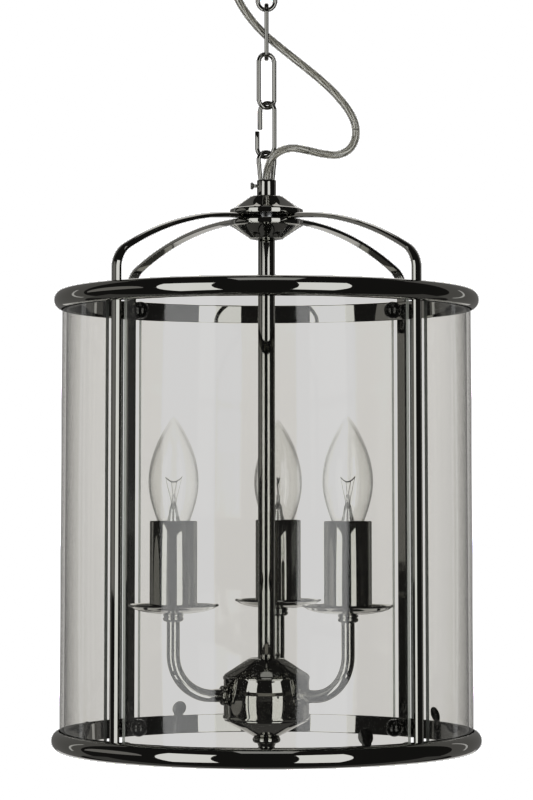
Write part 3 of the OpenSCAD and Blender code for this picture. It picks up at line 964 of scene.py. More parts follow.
@dataclass
class Flex:
    """The supply flex: a clear sheath over three twisted silver cores, in five lengths.

    The route and the bends' ends are in millimetres.
    """

    diameter: float = 0.0055
    core: float = 0.00122
    cores: int = 3
    lay_radius: float = 0.00134
    twist: float = 0.042
    fine: int = 10
    sheath_sides: int = 20
    core_sides: int = 8
    route: tuple = (
        (0, 0, -218), (0, 0, -212), (0.3, -0.6, -208), (1.3, -3.4, -203.5),
        (3.2, -6.6, -199), (7, -8.9, -194.5), (13, -9.4, -191.5), (20, -8.6, -190.6),
        (30, -7, -192.2), (40, -5.6, -194.2), (50, -4.4, -194.8), (58, -3.4, -191.4),
        (62.6, -2.8, -184.6), (63.6, -2.2, -176.5), (61.4, -1.8, -168), (56, -1.4, -159),
        (48, -1, -149.5), (38, -0.6, -140), (26, -0.2, -130), (13, 0, -119.5),
        (0, 0, -108.6), (-9.5, 0, -98.5), (-17, 0.2, -88), (-23, 0.4, -76.5),
        (-27.5, 0.2, -64), (-29.5, 0, -52), (-30, 0, -42), (-30, 0, -33), (-30, 0, -22),
    )
    cuts: tuple = (0, 8, 13, 20, 24, 28)
    lengths: tuple = (
        (Body.LANTERN, Body.OPEN_LINK, (3, -7, -199), (25, -8, -191)),
        (Body.OPEN_LINK, Body.LINK_3, (32, -7, -193), (63, -2.5, -180)),
        (Body.LINK_3, Body.LINK_2, (62, -2, -172), (20, 0, -126)),
        (Body.LINK_2, Body.LINK_1, (-5, 0, -103), (-25, 0, -72)),
        (Body.LINK_1, Body.CEILING, (-27.5, 0, -64), (-30, 0, -46)),
    )

    def point(self, number: int, share: float) -> Vector:
        """Finds a point on the smooth curve through the route.

        Args:
            number: The route point before it.
            share: How far it is from there to the next, from 0 to 1.

        Returns:
            The point.
        """
        last = len(self.route) - 1
        a, b, c, d = (
            Vector(self.route[min(max(number + k, 0), last)]) * MM for k in (-1, 0, 1, 2)
        )
        return 0.5 * (
            2 * b + (c - a) * share + (2 * a - 5 * b + 4 * c - d) * share * share
            + (3 * b - a - 3 * c + d) * share * share * share
        )

    def line(self, first: int, last: int) -> list[Vector]:
        """The centre line between two route points."""
        made = [self.point(i, k / self.fine) for i in range(first, last) for k in range(self.fine)]
        return made + [self.point(last, 0.0)]

    def sections(
        self, line: list[Vector], offset: float, start: float, phase: float
    ) -> list[tuple[Matrix, float]]:
        """Places round sections along a line, or along a core that is twisted round it.

        Args:
            line: Centre points.
            offset: Distance of the core from the line.
            start: Length of flex before this line.
            phase: The core's turn at the flex's start, in radians.

        Returns:
            Each section's place, and the length of flex before it.
        """
        made, run = [], start
        for i, here in enumerate(line):
            ahead = (line[min(i + 1, len(line) - 1)] - line[max(i - 1, 0)]).normalized()
            side = (Vector((0, 1, 0)) - ahead * ahead.y).normalized()
            other = ahead.cross(side)
            run += (here - line[i - 1]).length if i else 0.0
            turn = math.tau * run / self.twist + phase
            centre = here + offset * (math.cos(turn) * side + math.sin(turn) * other)
            facing = Matrix((side, other, ahead)).transposed().to_4x4()
            made.append((Matrix.Translation(centre) @ facing, run))
        return made

    def sweep(
        self, bm: bmesh.types.BMesh, sections: list, radius: float, sides: int, finish: int
    ) -> None:
        """Joins round sections into a closed tube, whose UV runs along it.

        Args:
            bm: The mesh to add to.
            sections: Places and lengths, as sections gives them.
            radius: The sections' radius.
            sides: Faces round them.
            finish: The faces' material number.
        """
        uv = bm.loops.layers.uv.get(RUN_UV) or bm.loops.layers.uv.new(RUN_UV)
        rings = [
            bmesh.ops.create_circle(bm, segments=sides, radius=radius, matrix=place)["verts"]
            for place, _ in sections
        ]
        runs = [run / self.diameter for _, run in sections]
        for ring, far, run, far_run in zip(rings, rings[1:], runs, runs[1:]):
            for k in range(sides):
                j = (k + 1) % sides
                face = bm.faces.new((ring[k], ring[j], far[j], far[k]))
                face.material_index = finish
                face.smooth = True
                corners = ((k, run), (k + 1, run), (k + 1, far_run), (k, far_run))
                for loop, (u, v) in zip(face.loops, corners):
                    loop[uv].uv = (u / sides, v)
        for end in (rings[0], rings[-1]):
            bm.faces.new(end).material_index = finish

    def build(self) -> None:
        """Makes the five lengths along the route; the bodies each one joins are listed but not
        used.
        """
        run = 0.0
        for number, (first, second, start, end) in enumerate(self.lengths, 1):
            line = self.line(self.cuts[number - 1], self.cuts[number])
            length = sum((b - a).length for a, b in zip(line, line[1:]))
            former = Former()
            sheath = self.sections(line, 0.0, 0.0, 0.0)
            self.sweep(former.bm, sheath, self.diameter / 2, self.sheath_sides, 0)
            for k in range(self.cores):
                core = self.sections(line, self.lay_radius, run, k * math.tau / self.cores)
                self.sweep(former.bm, core, self.core, self.core_sides, 1)
            bmesh.ops.recalc_face_normals(former.bm, faces=former.bm.faces[:])
            made = former.placed(f"flex_length_{number}", [SHEATH, CORE])
            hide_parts(f"flex_{number}")
            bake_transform(made)
            run += length
            LOG.info("flex length %d: %.1f mm", number, length / MM)


# ---- chain ----


@dataclass
class Chain:
    """Three closed links and the open link below them."""

    wire: float = 0.00155
    half_width: float = 0.00615
    sides: int = 20
    bend_steps: int = 24
    gap: float = 0.001
    splay: float = 0.0006
    rounding: float = 0.00025
    turns: tuple = (0.0, 90.0, 27.0)
    open_turn: float = -33.0

    def closed_link(self, number: int, body: Body) -> None:
        """A link bent from wire, its ends welded into one loop.

        Args:
            number: The link's number, from the top.
            body: The body it is.
        """
        node = f"chain_link_{number}"
        low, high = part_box(node)
        r = self.half_width
        top, foot = high.z - self.wire - r, low.z + self.wire + r
        former = Former()
        section = former.ring_of(self.wire, self.sides, shift(r, 0, top))
        for height, onward in ((top, foot - top), (foot, top - foot)):
            section = former.bend(
                section, (0, 0, height), (0, -1, 0), math.pi, self.bend_steps
            )
            section = former.draw(section, (0, 0, onward))
        former.move(about("Z", self.turns[number - 1]))
        former.piece(f"link_{number}", [node], body)

    def open_link(self) -> None:
        """The last link, opened at mid height with one end pulled outwards."""
        low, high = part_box("open_link")
        r = self.half_width
        wide = r + 2 * self.splay
        top, foot = high.z - self.wire - r, low.z + self.wire + wide
        middle = (high.z + low.z) / 2
        upper, lower = middle + self.gap / 2, middle - self.gap / 2
        former = Former()
        section = former.ring_of(self.wire, self.sides, shift(self.splay - r, 0, upper))
        former.cap(section)
        section = former.draw(section, (0, 0, top - upper))
        section = former.bend(
            section, (self.splay, 0, top), (0, 1, 0), math.pi, self.bend_steps
        )
        section = former.draw(section, (0, 0, foot - top))
        section = former.bend(
            section, (-self.splay, 0, foot), (0, 1, 0), math.pi, self.bend_steps
        )
        section = former.draw(section, (0, 0, lower - foot))
        former.cap(section)
        former.soften(self.rounding)
        former.move(about("Z", self.open_turn))
        former.piece("split_link", ["open_link"], Body.OPEN_LINK)

    def build(self) -> None:
        """Makes the links."""
        for number, body in enumerate((Body.LINK_1, Body.LINK_2, Body.LINK_3), 1):
            self.closed_link(number, body)
        self.open_link()


# ---- ceiling fitting ----


@dataclass
class CeilingFitting:
    """Rose, the nut that holds it up, hook and the flex's way out."""

    sheet: float = 0.0012
    shoulder: float = 0.022
    rose_bore: float = 0.0027
    nut_bore: float = 0.0026
    eye_radius: float = 0.007
    eye_sweep: float = 290.0
    hook_wire: float = 0.002
    shank: float = 0.0025
    shank_plain: float = 0.0055
    thread_pitch: float = 0.0008
    thread_depth: float = 0.0004
    bush_x: float = -0.030
    bush_bore: float = 0.0028
    bush_waist: float = 0.0049
    bush_lip: float = 0.004

    def rose(self) -> None:
        """A spun cup with a round shoulder."""
        low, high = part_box("ceiling_rose")
        r, foot, t, s = high.x, low.z, self.sheet, self.shoulder
        centre = (r - s, foot + s)
        points = [
            (self.rose_bore, foot), *arc(centre, s, -90.0, 0.0, 16), (r, high.z),
            (r - t, high.z), *arc(centre, s - t, 0.0, -90.0, 16), (self.rose_bore, foot + t),
        ]
        turned("rose", points, ["ceiling_rose"], body=Body.CEILING)

    def collar(self) -> None:
        """The round nut that holds the rose up, with a waist between its two bands."""
        low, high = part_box("rose_collar")
        r, h, bore = high.x, high.z - low.z, self.nut_bore
        points = [
            (bore, 0), (0.0054, 0), (r, 0.3 * h), (r, 0.55 * h), (0.9 * r, 0.62 * h),
            (0.9 * r, 0.74 * h), (r, 0.8 * h), (r, h), (bore, h),
        ]
        turned(
            "rose_nut", raised(points, low.z), ["rose_collar"], steps=64, edge=0.0002,
            body=Body.CEILING,
        )

    def hook(self) -> None:
        """An eye hook of bent rod with a threaded shank."""
        low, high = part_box("ceiling_hook")
        centre = low.z + self.hook_wire + self.eye_radius
        crown = centre + self.eye_radius
        former = Former()
        section = former.ring_of(self.hook_wire, 20, shift(0, 0, crown) @ about("X", 90.0))
        former.cap(section)
        section = former.bend(
            section, (0, 0, centre), (1, 0, 0), math.radians(self.eye_sweep), steps=48
        )
        former.cap(section)
        former.soften(0.0004)
        foot, first = crown - 0.0004, crown + 0.0056
        root = self.shank - self.thread_depth
        points = [(0.0, foot), (self.shank, foot), (self.shank, foot + self.shank_plain)]
        for i in range(int((high.z - first) / self.thread_pitch)):
            z = first + i * self.thread_pitch
            points += [(root, z), (self.shank, z + self.thread_pitch / 2)]
        points += [(root, high.z), (0.0, high.z)]
        former.turn(former.outline(upright(points)), steps=32)
        former.piece("eye_hook", ["ceiling_hook"], Body.CEILING, sharp=50.0)

    def bush(self) -> None:
        """The rubber bush that the flex passes through."""
        low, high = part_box("flex_bush")
        bore, lip, waist = self.bush_bore, high.x - self.bush_x, self.bush_waist
        neck = low.z + self.bush_lip
        points = [
            (bore, low.z), (lip - 0.0015, low.z), (lip, low.z + 0.0015), (lip, neck),
            (waist, neck), (waist, high.z), (bore, high.z),
        ]
        turned(
            "flex_grommet", points, ["flex_bush"], steps=48, edge=0.0003, body=Body.CEILING,
            finish=BLACK_PLASTIC, places=[shift(self.bush_x, 0, 0)],
        )

    def build(self) -> None:
        """Makes the fitting's visible pieces."""
        self.rose()
        self.collar()
        self.hook()
        self.bush()


# ---- hub ----


@dataclass
class Hub:
    """The hanging point: shackle, gland, thumb screw and the two cups."""

    wire: float = 0.00155
    shackle_radius: float = 0.0063
    shackle_lean: float = 6.4
    shackle_turn: float = 28.0
    rod_bore: float = 0.005
    gland_bore: float = 0.00285
    gland_floor: float = 0.002
    sheet: float = 0.0013
    rim: float = 0.0042
    neck: float = 0.0112

    def shackle(self) -> None:
        """A loop of wire whose legs close in on the gland."""
        low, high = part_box("shackle")
        reach = self.shackle_radius
        centre = high.z - self.wire - reach
        lean = math.radians(self.shackle_lean)
        former = Former()
        start = shift(0, 0, centre) @ about("Y", self.shackle_lean) @ shift(reach, 0, 0)
        near = former.ring_of(self.wire, 20, start)
        far = former.bend(near, (0, 0, centre), (0, -1, 0), math.pi + 2 * lean, steps=36)
        leg = (centre - low.z) / math.cos(lean) - reach * math.tan(lean) - 0.0002
        for edges, side in ((near, -1.0), (far, 1.0)):
            offset = (side * leg * math.sin(lean), 0, -leg * math.cos(lean))
            former.cap(former.draw(edges, offset))
        former.move(about("Z", self.shackle_turn))
        former.piece("shackle_loop", ["shackle"])

    def gland(self) -> None:
        """A short collar with a bored top."""
        low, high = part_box("gland")
        r, foot, top, bore = high.x, low.z, high.z, self.gland_bore
        inside = foot + self.gland_floor
        points = [
            (bore, inside), (self.rod_bore, inside), (self.rod_bore, foot),
            (r, foot), (r, top), (bore + 0.0006, top), (bore, top - 0.0006),
        ]
        turned("gland_collar", points, ["gland"], steps=96, edge=0.0003)

    def thumb_screw(self) -> None:
        """A small screw with a round waisted head."""
        low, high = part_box("thumb_screw")
        head = (high.z - low.z) / 2
        end, tip = -low.x, -high.x
        points = [
            (0.0, tip), (0.0009, tip), (0.0012, tip + 0.0004), (0.0012, end - 0.0026),
            (0.0016, end - 0.0024), (head, end - 0.0017), (head, end - 0.0006),
            (head - 0.0005, end - 0.0001), (0.0, end),
        ]
        former = Former()
        former.turn(former.outline(upright(points)), steps=40)
        former.soften(0.00012)
        former.move(shift(0, 0, (low.z + high.z) / 2) @ about("Y", -90.0))
        former.piece("thumb_knob", ["thumb_screw"], Body.THUMB_SCREW, sharp=50.0)

    def cup(self, name: str, node: str, sign: float) -> None:
        """One spun cup: an upright rim band, a cone and a flat neck.

        Args:
            name: The piece's name.
            node: The CAD node that it replaces.
            sign: 1 for a cup that rises from its rim, and -1 for one that hangs from it.
        """
        low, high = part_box(node)
        r, h, t, rim, neck = high.x, high.z - low.z, self.sheet, self.rim, self.neck
        points = [
            (r - t, 0.0), (r - 0.0002, 0.0), (r, 0.0003), (r, rim - 0.0009),
            (r - 0.0003, rim - 0.0003), (r - 0.0010, rim), (r - 0.0022, rim + 0.0006),
            (neck + 0.0012, h - 0.0009), (neck + 0.0004, h - 0.0002), (neck - 0.0006, h),
            (self.rod_bore, h), (self.rod_bore, h - t), (neck - 0.001, h - t),
            (r - 0.0035, rim - 0.0006), (r - t, rim - 0.0018),
        ]
        base = low.z if sign > 0 else high.z
        turned(name, raised(points, base, sign), [node], steps=160)

    def build(self) -> None:
        """Makes the hanging point."""
        self.shackle()
        self.gland()
        self.thumb_screw()
        self.cup("cup_above", "upper_cup", 1.0)
        self.cup("cup_below", "lower_cup", -1.0)


# ---- rings, bars and panes ----


@dataclass
class Cage:
    """Two rolled rings, four bars, four panes and what fastens them."""

    sheet: float = 0.0011
    wall: float = 0.010
    lip: float = 0.005
    hem: float = 0.0009
    bar_width: float = 0.008
    bar_thick: float = 0.0034
    bar_crown: float = 0.0013
    bar_corner: float = 0.0003
    bar_gap: float = 0.0003
    arch_start: float = 0.025
    arch_radius: float = 0.224
    bend_radius: float = 0.018
    root: float = 0.0096
    glass: float = 0.003
    glass_in: float = 0.0058
    pane_sweep: float = 82.8
    pane_rounding: float = 0.00035
    face_depth: float = 0.46
    face_level: float = 0.882
    bar_turns: tuple = (45.0, 135.0, 225.0, 315.0)
    ball: float = 0.0065
    clip_turns: tuple = (-62.0, 28.0, 118.0, 208.0)
    clip_width: float = 0.007
    clip_sheet: float = 0.0008
    clip_head: float = 0.0056
    clip_lean: float = 14.0

    def ring(self, name: str, node: str, sign: float) -> None:
        """A pressed channel with a rolled outside, open above or below.

        Args:
            name: The piece's name.
            node: The CAD node that it replaces.
            sign: 1 for a ring open below, and -1 for one open above.
        """
        low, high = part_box(node)
        radius, roll = high.x, (high.z - low.z) / 2
        c, inner, hem = radius - roll, radius - self.wall, self.hem
        bore = roll - self.sheet
        lip = radius - self.lip - c
        outer_end = -math.degrees(math.acos(lip / roll))
        inner_end = -math.degrees(math.acos(lip / bore))
        points = [
            (inner + self.sheet, -roll), (inner + 0.0002, -roll), (inner, -roll + 0.0002),
            *arc((inner + hem, roll - hem), hem, 180.0, 90.0, 6),
            *arc((c, 0.0), roll, 90.0, outer_end, 40),
            *arc((c, 0.0), bore, inner_end, 90.0, 24),
            (inner + self.sheet, bore),
        ]
        turned(name, raised(points, (high.z + low.z) / 2, sign), [node], steps=256)

    def bar_section(self) -> list[tuple[float, float]]:
        """Draws a bar's section: a crowned outside over a flat back.

        Returns:
            The section's (width, height) corners.
        """
        half, back, crown, corner = (
            self.bar_width / 2, -self.bar_thick / 2, self.bar_crown, self.bar_corner
        )
        curve = (half * half + crown * crown) / (2 * crown)
        sweep = math.degrees(math.asin(half / curve))
        top = arc((0.0, -back - curve), curve, 90.0 + sweep, 90.0 - sweep, 12)
        return top + [
            (half, back + corner), (half - corner, back), (0.3 * half, back),
            (-0.3 * half, back), (corner - half, back), (-half, back + corner),
        ]

    def bar(self, number: int) -> None:
        """A bar: a root in the hub, an arch, a tight bend and a straight drop.

        Args:
            number: The bar's number.
        """
        node = f"bar_{number}"
        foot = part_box(node)[0].z
        hub = (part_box("upper_cup")[0].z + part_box("lower_cup")[1].z) / 2
        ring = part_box("top_ring")[1].x
        reach = ring - self.wall + self.sheet + self.bar_gap + self.bar_thick / 2
        span = reach - self.arch_start - self.bend_radius
        angle = math.asin(span / (self.arch_radius - self.bend_radius))
        drop = self.arch_radius * (1 - math.cos(angle))
        bend_z = hub - drop - self.bend_radius * math.cos(angle)
        former = Former()
        edges = former.outline([(self.root, y, hub + z) for y, z in self.bar_section()], True)
        former.cap(edges)
        edges = former.draw(edges, (self.arch_start - self.root, 0, 0))
        edges = former.bend(
            edges, (self.arch_start, 0, hub - self.arch_radius), (0, 1, 0), angle, steps=60
        )
        edges = former.bend(
            edges, (reach - self.bend_radius, 0, bend_z), (0, 1, 0), math.pi / 2 - angle,
            steps=28,
        )
        edges = former.draw(edges, (0, 0, foot - bend_z))
        former.cap(edges)
        former.move(about("Z", self.bar_turns[number - 1]))
        former.piece(f"frame_bar_{number}", [node], sharp=35.0)

    def pane(self, number: int) -> None:
        """A curved pane whose four edges are ground.

        Args:
            number: The pane's number.
        """
        node = f"pane_{number}"
        low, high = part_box(node)
        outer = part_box("top_ring")[1].x - self.glass_in
        inner = outer - self.glass
        former = Former()
        corners = [(inner, low.z), (outer, low.z), (outer, high.z), (inner, high.z)]
        edges = former.outline(upright(corners), True)
        former.cap(edges)
        sweep = math.radians(self.pane_sweep)
        far = former.bend(edges, (0, 0, 0), (0, 0, 1), sweep, steps=72)
        former.cap(far)
        former.soften(self.pane_rounding, above=60.0)
        bmesh.ops.recalc_face_normals(former.bm, faces=former.bm.faces[:])
        middle = (inner + outer) / 2
        for face in former.bm.faces:
            centre = face.calc_center_median().xy
            on_side = abs(centre.length - middle) > self.face_depth * self.glass
            outwards = abs(face.normal.xy.dot(centre)) > self.face_level * middle
            face.material_index = 0 if on_side and outwards else 1
        former.move(about("Z", 90.0 * (number - 1) - self.pane_sweep / 2))
        # Panes 1 and 3 take the painted-shade copy of the edge finish, darker than the others.
        edge = SHADED_PANE_EDGE if number % 2 else PANE_EDGE
        former.piece(
            f"curved_pane_{number}", [node], finishes=(PANE_GLASS, edge)
        )

    def ball_nuts(self, name: str, node: str) -> None:
        """Round nuts on the bars' studs, inside a ring.

        Args:
            name: The piece's name.
            node: The CAD node that it replaces.
        """
        low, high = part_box(node)
        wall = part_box("top_ring")[1].x - self.wall
        ball = arc((0.0, 0.0075), self.ball, -38.0, 90.0, 20)
        points = [
            (0.0, 0.0), (0.0042, 0.0), (0.0045, 0.0003), (0.0045, 0.0019), (0.0042, 0.0022),
            *[(r, h) for r, h in ball[:-1] if h > 0.0026], (0.0, ball[-1][1]),
        ]
        former = Former()
        former.turn(former.outline(upright(points)), steps=48)
        former.merge()
        level = shift(0, 0, (low.z + high.z) / 2)
        inwards = shift(wall, 0, 0) @ about("Y", -90.0)
        former.copies([level @ about("Z", turn) @ inwards for turn in self.bar_turns])
        # The nuts take the painted-shade copy of the nickel plate.
        former.piece(name, [node], finishes=(SHADED_NICKEL,))

    def clips(self) -> None:
        """Spring leaves with round heads that press on the panes' feet."""
        low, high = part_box("bottom_ring")
        z, roll = (low.z + high.z) / 2, (high.z - low.z) / 2
        wall, thick = high.x - self.wall, self.clip_sheet
        foot, top = 0.0006 - roll, roll + 0.0015
        former = Former()
        former.block(
            (thick, self.clip_width, top - foot),
            (wall - thick / 2 - 0.0001, 0, (top + foot) / 2),
        )
        head = (
            shift(wall - thick - 0.0005, 0, roll + 0.0014) @ about("Y", -self.clip_lean)
            @ shift(thick / 2, 0, 0.7 * self.clip_head) @ about("Y", 90.0)
        )
        former.disc(self.clip_head, thick, head)
        rivet = shift(wall - thick - 0.0006, 0, 0) @ about("Y", 90.0)
        former.disc(0.0014, 0.0012, rivet, sides=24, top=0.0018)
        former.soften(0.0002, above=50.0)
        former.copies([shift(0, 0, z) @ about("Z", turn) for turn in self.clip_turns])
        # The clips take the painted-shade copy of the nickel plate.
        former.piece("spring_clips", ["glass_clips"], finishes=(SHADED_NICKEL,))

    def build(self) -> None:
        """Makes the cage."""
        self.ring("ring_above", "top_ring", 1.0)
        self.ring("ring_below", "bottom_ring", -1.0)
        for number in range(1, 5):
            self.bar(number)
            self.pane(number)
        self.ball_nuts("nuts_above", "top_ball_nuts")
        self.ball_nuts("nuts_below", "bottom_ball_nuts")
        self.clips()


# ---- stem and cluster ----


@dataclass
class Cluster:
    """The stem, the drum with its cones and finial, and the three candle arms."""

    reach: float = 0.070
    first_turn: float = 83.0
    arm: float = 0.0046
    arm_bend: float = 0.029
    arm_root: float = 0.004
    stem_bore: float = 0.005
    cone_bore: float = 0.0051
    candle: float = 0.0165
    wall: float = 0.0011
    turns: list = field(init=False)
    stands: list = field(init=False)

    def __post_init__(self) -> None:
        """Works out where the candles stand round the stem."""
        self.turns = [about("Z", self.first_turn + 120.0 * i) for i in range(3)]
        self.stands = [turn @ shift(self.reach, 0, 0) for turn in self.turns]

    def stem(self) -> None:
        """The plain tube down the middle."""
        low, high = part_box("stem_tube")
        r, bore = high.x, self.stem_bore
        points = [(bore, low.z), (r, low.z), (r, high.z), (bore, high.z)]
        turned("stem_pipe", points, ["stem_tube"], steps=96, edge=0.0002)

    def drum(self) -> None:
        """The drum between two raised bands."""
        low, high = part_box("cluster_drum")
        r, foot, top = high.x, low.z, high.z
        points = [
            (r - 0.0018, foot), (r - 0.0008, foot), (r, foot + 0.0008), (r, foot + 0.0022),
            (r - 0.0005, foot + 0.0028), (r - 0.0005, top - 0.0028), (r, top - 0.0022),
            (r, top - 0.0008), (r - 0.0008, top), (r - 0.0018, top),
        ]
        turned("drum_shell", points, ["cluster_drum"], steps=160)

    def cones(self) -> None:
        """The cone on the drum and the shallower one under it."""
        low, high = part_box("cluster_cap")
        r, foot, top, bore = high.x, low.z, high.z, self.cone_bore
        points = [
            (bore, foot + 0.0104), (0.0112, foot + 0.0104), (r - 0.002, foot + 0.0003),
            (r - 0.002, foot), (r - 0.0004, foot), (r, foot + 0.0004), (r - 0.0002, foot + 0.0009),
            (0.0128, top - 0.0006), (0.0118, top), (bore, top),
        ]
        turned("upper_cone", points, ["cluster_cap"], steps=160)
        low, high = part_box("cluster_base")
        r, foot, top = high.x, low.z, high.z
        points = [
            (bore, foot), (0.0093, foot), (0.0100, foot + 0.0004), (r - 0.0004, top - 0.0012),
            (r, top - 0.0007), (r, top), (r - 0.002, top), (r - 0.002, top - 0.0008),
            (0.0092, foot + 0.0015), (bore, foot + 0.0015),
        ]
        turned("lower_cone", points, ["cluster_base"], steps=160)

    def finial(self) -> None:
        """A turned knob: a bead, a waist, a flange and a round tip."""
        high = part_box("finial")[1]
        bead, tip = 0.0024, 0.0042
        points = [
            (0.0, 0.0), *arc((high.x - bead, -bead), bead, 90.0, -90.0, 14),
            (0.0067, -0.0049), (0.0063, -0.0056), (0.0056, -0.0072), (0.0058, -0.0078),
            (0.0076, -0.0099), (0.0080, -0.0104), (0.0080, -0.0117), (0.0074, -0.0121),
            (0.0060, -0.0140), (0.0046, -0.0168), *arc((0.0, -0.0172), tip, -12.0, -90.0, 14),
        ]
        points[-1] = (0.0, points[-1][1])
        turned("finial_knob", raised(points, high.z), ["finial"], steps=96, closed=False)

    def arms(self) -> None:
        """Three tubes out of the drum, round a quarter bend and up, and their collars."""
        low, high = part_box("candle_arms")
        axis = low.z + self.arm
        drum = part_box("cluster_drum")[1].x
        start, straight = drum - self.arm_root, self.reach - self.arm_bend
        former = Former()
        edges = former.ring_of(self.arm, 32, shift(start, 0, axis) @ about("Y", 90.0))
        former.cap(edges)
        edges = former.draw(edges, (straight - start, 0, 0))
        edges = former.bend(
            edges, (straight, 0, axis + self.arm_bend), (0, -1, 0), math.pi / 2, steps=32
        )
        edges = former.draw(edges, (0, 0, high.z - axis - self.arm_bend))
        former.cap(edges)
        former.copies(self.turns)
        former.piece("arm_tubes", ["candle_arms"])
        points = [
            (0.0, 0.0), (0.0062, 0.0), (0.0068, 0.0006), (0.0068, 0.0012), (0.0060, 0.0016),
            (0.0068, 0.0020), (0.0068, 0.0026), (0.0062, 0.0030), (0.0, 0.0030),
        ]
        out = shift(drum + 0.0004, 0, axis) @ about("Y", 90.0)
        turned(
            "drum_collars", points, ["arm_collars"], steps=40, closed=False,
            places=[turn @ out for turn in self.turns],
        )

    def pans(self) -> None:
        """Drip pans, the nuts under them and the candle tubes on them."""
        nut, bore = 0.0072, self.arm - 0.0001
        points = [
            (bore, 0.0), (0.0056, 0.0), (0.0068, 0.0008), (nut, 0.0018), (nut, 0.0026),
            (0.0064, 0.0031), (0.0064, 0.0036), (nut, 0.0041), (nut, 0.0050), (0.0060, 0.0054),
            (0.0056, 0.0060), (bore, 0.0060),
        ]
        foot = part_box("pan_nuts")[0].z
        turned(
            "pan_nut_set", raised(points, foot), ["pan_nuts"], steps=48, places=self.stands
        )
        points = [
            (bore, 0.0), (0.0140, 0.0), (0.0190, 0.0006), (0.0240, 0.0016), (0.0280, 0.0030),
            (0.0301, 0.0044), (0.0312, 0.0047), (0.0315, 0.0053), (0.0311, 0.0060),
            (0.0302, 0.0059), (0.0284, 0.0046), (0.0262, 0.0036), (0.0236, 0.0028),
            (0.0188, 0.0018), (0.0138, 0.0012), (bore, 0.0012),
        ]
        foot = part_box("drip_pans")[0].z
        turned("pan_set", raised(points, foot), ["drip_pans"], steps=96, places=self.stands)
        low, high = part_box("candle_tubes")
        r, foot, top = self.candle, low.z, high.z
        points = [
            (r - self.wall, foot), (r - 0.0003, foot), (r, foot + 0.0003), (r, top - 0.0005),
            (r - 0.0004, top), (r - 0.0008, top), (r - self.wall, top - 0.0005),
        ]
        turned("candle_sleeves", points, ["candle_tubes"], steps=96, places=self.stands)

    def build(self) -> None:
        """Makes the stem and the cluster."""
        self.stem()
        self.drum()
        self.cones()
        self.finial()
        self.arms()
        self.pans()


# ---- lamps ----


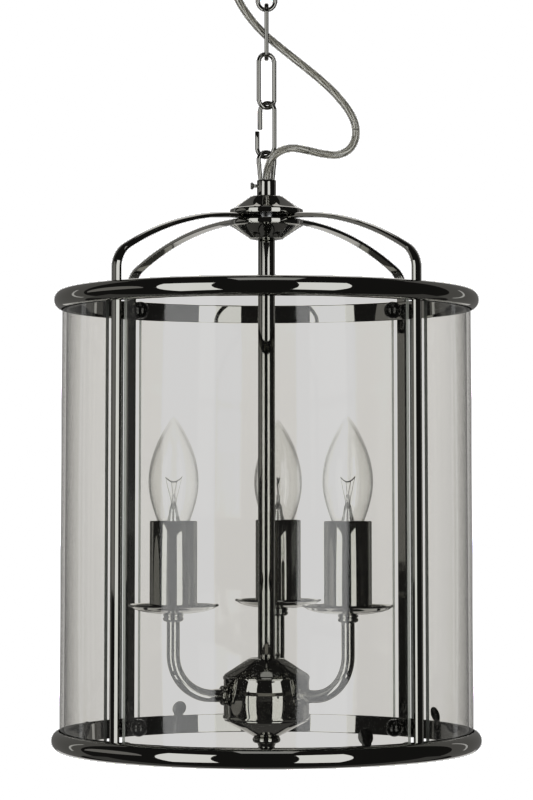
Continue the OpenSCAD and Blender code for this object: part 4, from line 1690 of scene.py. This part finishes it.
@dataclass
class Lamp:
    """A clear candle lamp: its glass, its screw cap, and its stem and filament."""

    number: int
    stand: Matrix
    body: Body
    width: float = 0.035
    neck: float = 0.0114
    belly: float = 0.37
    taper: float = 0.86
    wall: float = 0.0007
    tip_wall: float = 0.0016
    neck_height: float = 0.004
    steps: int = 40
    cap_radius: float = 0.0069
    thread_pitch: float = 0.0028
    thread_depth: float = 0.0008
    thread_steps: int = 6
    wire: float = 0.00022
    coil_half: float = 0.0062
    coil_radius: float = 0.0004
    coil_turns: int = 24
    coil_steps: int = 180
    coil_height: float = 0.0335
    coil_sag: float = 0.0036

    def half(self, share: float) -> float:
        """Finds the half width of the glass.

        Args:
            share: How far up the glass, from 0 to 1.

        Returns:
            Its half width there.
        """
        if share < self.belly:
            grow = math.sin(math.pi / 2 * share / self.belly)
            return self.neck + (self.width / 2 - self.neck) * grow
        fall = math.cos(math.pi / 2 * (share - self.belly) / (1 - self.belly))
        return self.width / 2 * max(fall, 0.0) ** self.taper

    def glass(self) -> None:
        """One blown wall, open at the neck."""
        node = f"lamp_{self.number}_glass"
        low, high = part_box(node)
        foot, tip = low.z, high.z
        base = foot + self.neck_height
        rise, throat = tip - base, foot + 0.0018
        shares = [(i / self.steps) ** 0.9 for i in range(self.steps)]
        outer = [(self.half(s), base + s * rise) for s in shares]
        inner = [
            (self.half(s) - self.wall, base + s * (rise - self.tip_wall)) for s in shares
        ]
        points = [
            (0.0, tip - self.tip_wall), *[p for p in reversed(inner) if p[0] > 0.0002],
            (0.0083, throat), (0.0078, foot), (0.0086, foot), (0.0092, throat),
            *outer, (0.0, tip),
        ]
        turned(
            f"lamp_{self.number}_bulb", points, [node], steps=64, body=self.body,
            finish=LAMP_GLASS, places=[self.stand], closed=False,
        )

    def cap(self) -> None:
        """A rolled screw cap whose foot narrows to a flat contact."""
        node = f"lamp_{self.number}_cap"
        low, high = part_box(node)
        foot, top, r = low.z, high.z, self.cap_radius
        points = [
            (0.0, foot), (0.0022, foot), (0.0026, foot + 0.0004), (0.0054, foot + 0.0036),
            (0.0060, foot + 0.004),
        ]
        z = foot + 0.0045
        while z < top - 0.004:
            for k in range(self.thread_steps):
                share = k / self.thread_steps
                dip = self.thread_depth * (0.5 - 0.5 * math.cos(math.tau * share))
                points.append((r - dip, z + self.thread_pitch * share))
            z += self.thread_pitch
        points += [(r, top - 0.0008), (r - 0.0004, top), (0.0, top)]
        turned(
            f"lamp_{self.number}_screw_cap", points, [node], steps=48, body=self.body,
            finish=TIN, places=[self.stand], closed=False,
        )

    def mount(self, foot: float) -> None:
        """The glass mount that holds the filament's wires.

        Args:
            foot: Height of its foot.
        """
        points = [
            (0.0, 0.0), (0.0050, 0.0), (0.0046, 0.003), (0.0032, 0.009), (0.0024, 0.0135),
            (0.0014, 0.0150), (0.0012, 0.0210), (0.0, 0.0215),
        ]
        turned(
            f"lamp_{self.number}_mount", raised(points, foot), [], steps=32, body=self.body,
            finish=MOUNT_GLASS, places=[self.stand], closed=False,
        )

    def coil(self) -> list[Point]:
        """Winds the fine coil, which sags between its two leads.

        Returns:
            Points along its wire.
        """
        made = []
        for i in range(self.coil_steps + 1):
            share = i / self.coil_steps
            turn = math.tau * self.coil_turns * share
            sag = -self.coil_sag * (1 - abs(2 * share - 1) ** 2)
            made.append((
                self.coil_half * (2 * share - 1),
                self.coil_radius * math.cos(turn),
                self.coil_height + sag + self.coil_radius * math.sin(turn),
            ))
        return made

    def wires(self, node: str, foot: float) -> None:
        """Two leads, two props and the coil between them.

        Args:
            node: The CAD node that they replace.
            foot: Height of the mount's foot.
        """
        runs = []
        for side in (-1.0, 1.0):
            runs.append([
                (side * 0.0014, 0, 0.012), (side * 0.0022, 0, 0.018),
                (side * self.coil_half, 0, self.coil_height),
            ])
            runs.append([(side * 0.0003, 0, 0.020), (side * 0.0020, 0.0008, 0.030)])
        data = bpy.data.curves.new("filament_wire", "CURVE")
        data.dimensions = "3D"
        data.bevel_depth = self.wire
        data.bevel_resolution = 2
        data.use_fill_caps = True
        for run in (*runs, self.coil()):
            spline = data.splines.new("POLY")
            spline.points.add(len(run) - 1)
            for made, point in zip(spline.points, run):
                made.co = (*point, 1.0)
        wire = bpy.data.objects.new("filament_wire", data)
        mesh = bpy.data.meshes.new_from_object(wire)
        bpy.data.objects.remove(wire)
        former = Former()
        former.bm.from_mesh(mesh)
        former.move(self.stand @ shift(0, 0, foot))
        former.piece(
            f"lamp_{self.number}_wires", [node], self.body, (WIRE,)
        )

    def build(self) -> None:
        """Makes the lamp."""
        self.glass()
        self.cap()
        node = f"lamp_{self.number}_filament"
        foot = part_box(node)[0].z
        self.mount(foot)
        self.wires(node, foot)


# ---- plain pieces that keep their CAD shape ----


@dataclass
class Fittings:
    """CAD pieces whose shape is kept, each with its own finish."""

    dressed: tuple = (
        ("ceiling_bracket", ZINC), ("hook_nuts", ZINC), ("flex_clamp", WHITE_PLASTIC),
        ("terminal_block", WHITE_PLASTIC), ("hub_spacer", ZINC), ("bar_screws", ZINC),
        ("stem_rod", ZINC), ("drum_nuts", ZINC), ("lamp_holders", WHITE_PLASTIC),
    )

    def build(self) -> None:
        """Gives each kept piece its finish."""
        for node, finish in self.dressed:
            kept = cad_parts[node]
            kept.data.materials.clear()
            kept.data.materials.append(finish.material())
            LOG.info("%s dressed in %s", node, finish.name)


def main() -> None:
    """Builds the lantern in order."""
    logging.basicConfig(level=logging.INFO, format="%(message)s")
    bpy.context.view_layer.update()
    studio = Studio()
    studio.camera()
    Flex().build()
    Chain().build()
    CeilingFitting().build()
    Hub().build()
    Cage().build()
    cluster = Cluster()
    cluster.build()
    bodies = (Body.LAMP_1, Body.LAMP_2, Body.LAMP_3)
    for number, (stand, body) in enumerate(zip(cluster.stands, bodies), 1):
        Lamp(number, stand, body).build()
    Fittings().build()
    studio.floor()
    studio.lights()
    studio.world()
    studio.film()


if __name__ == "__main__":
    main()
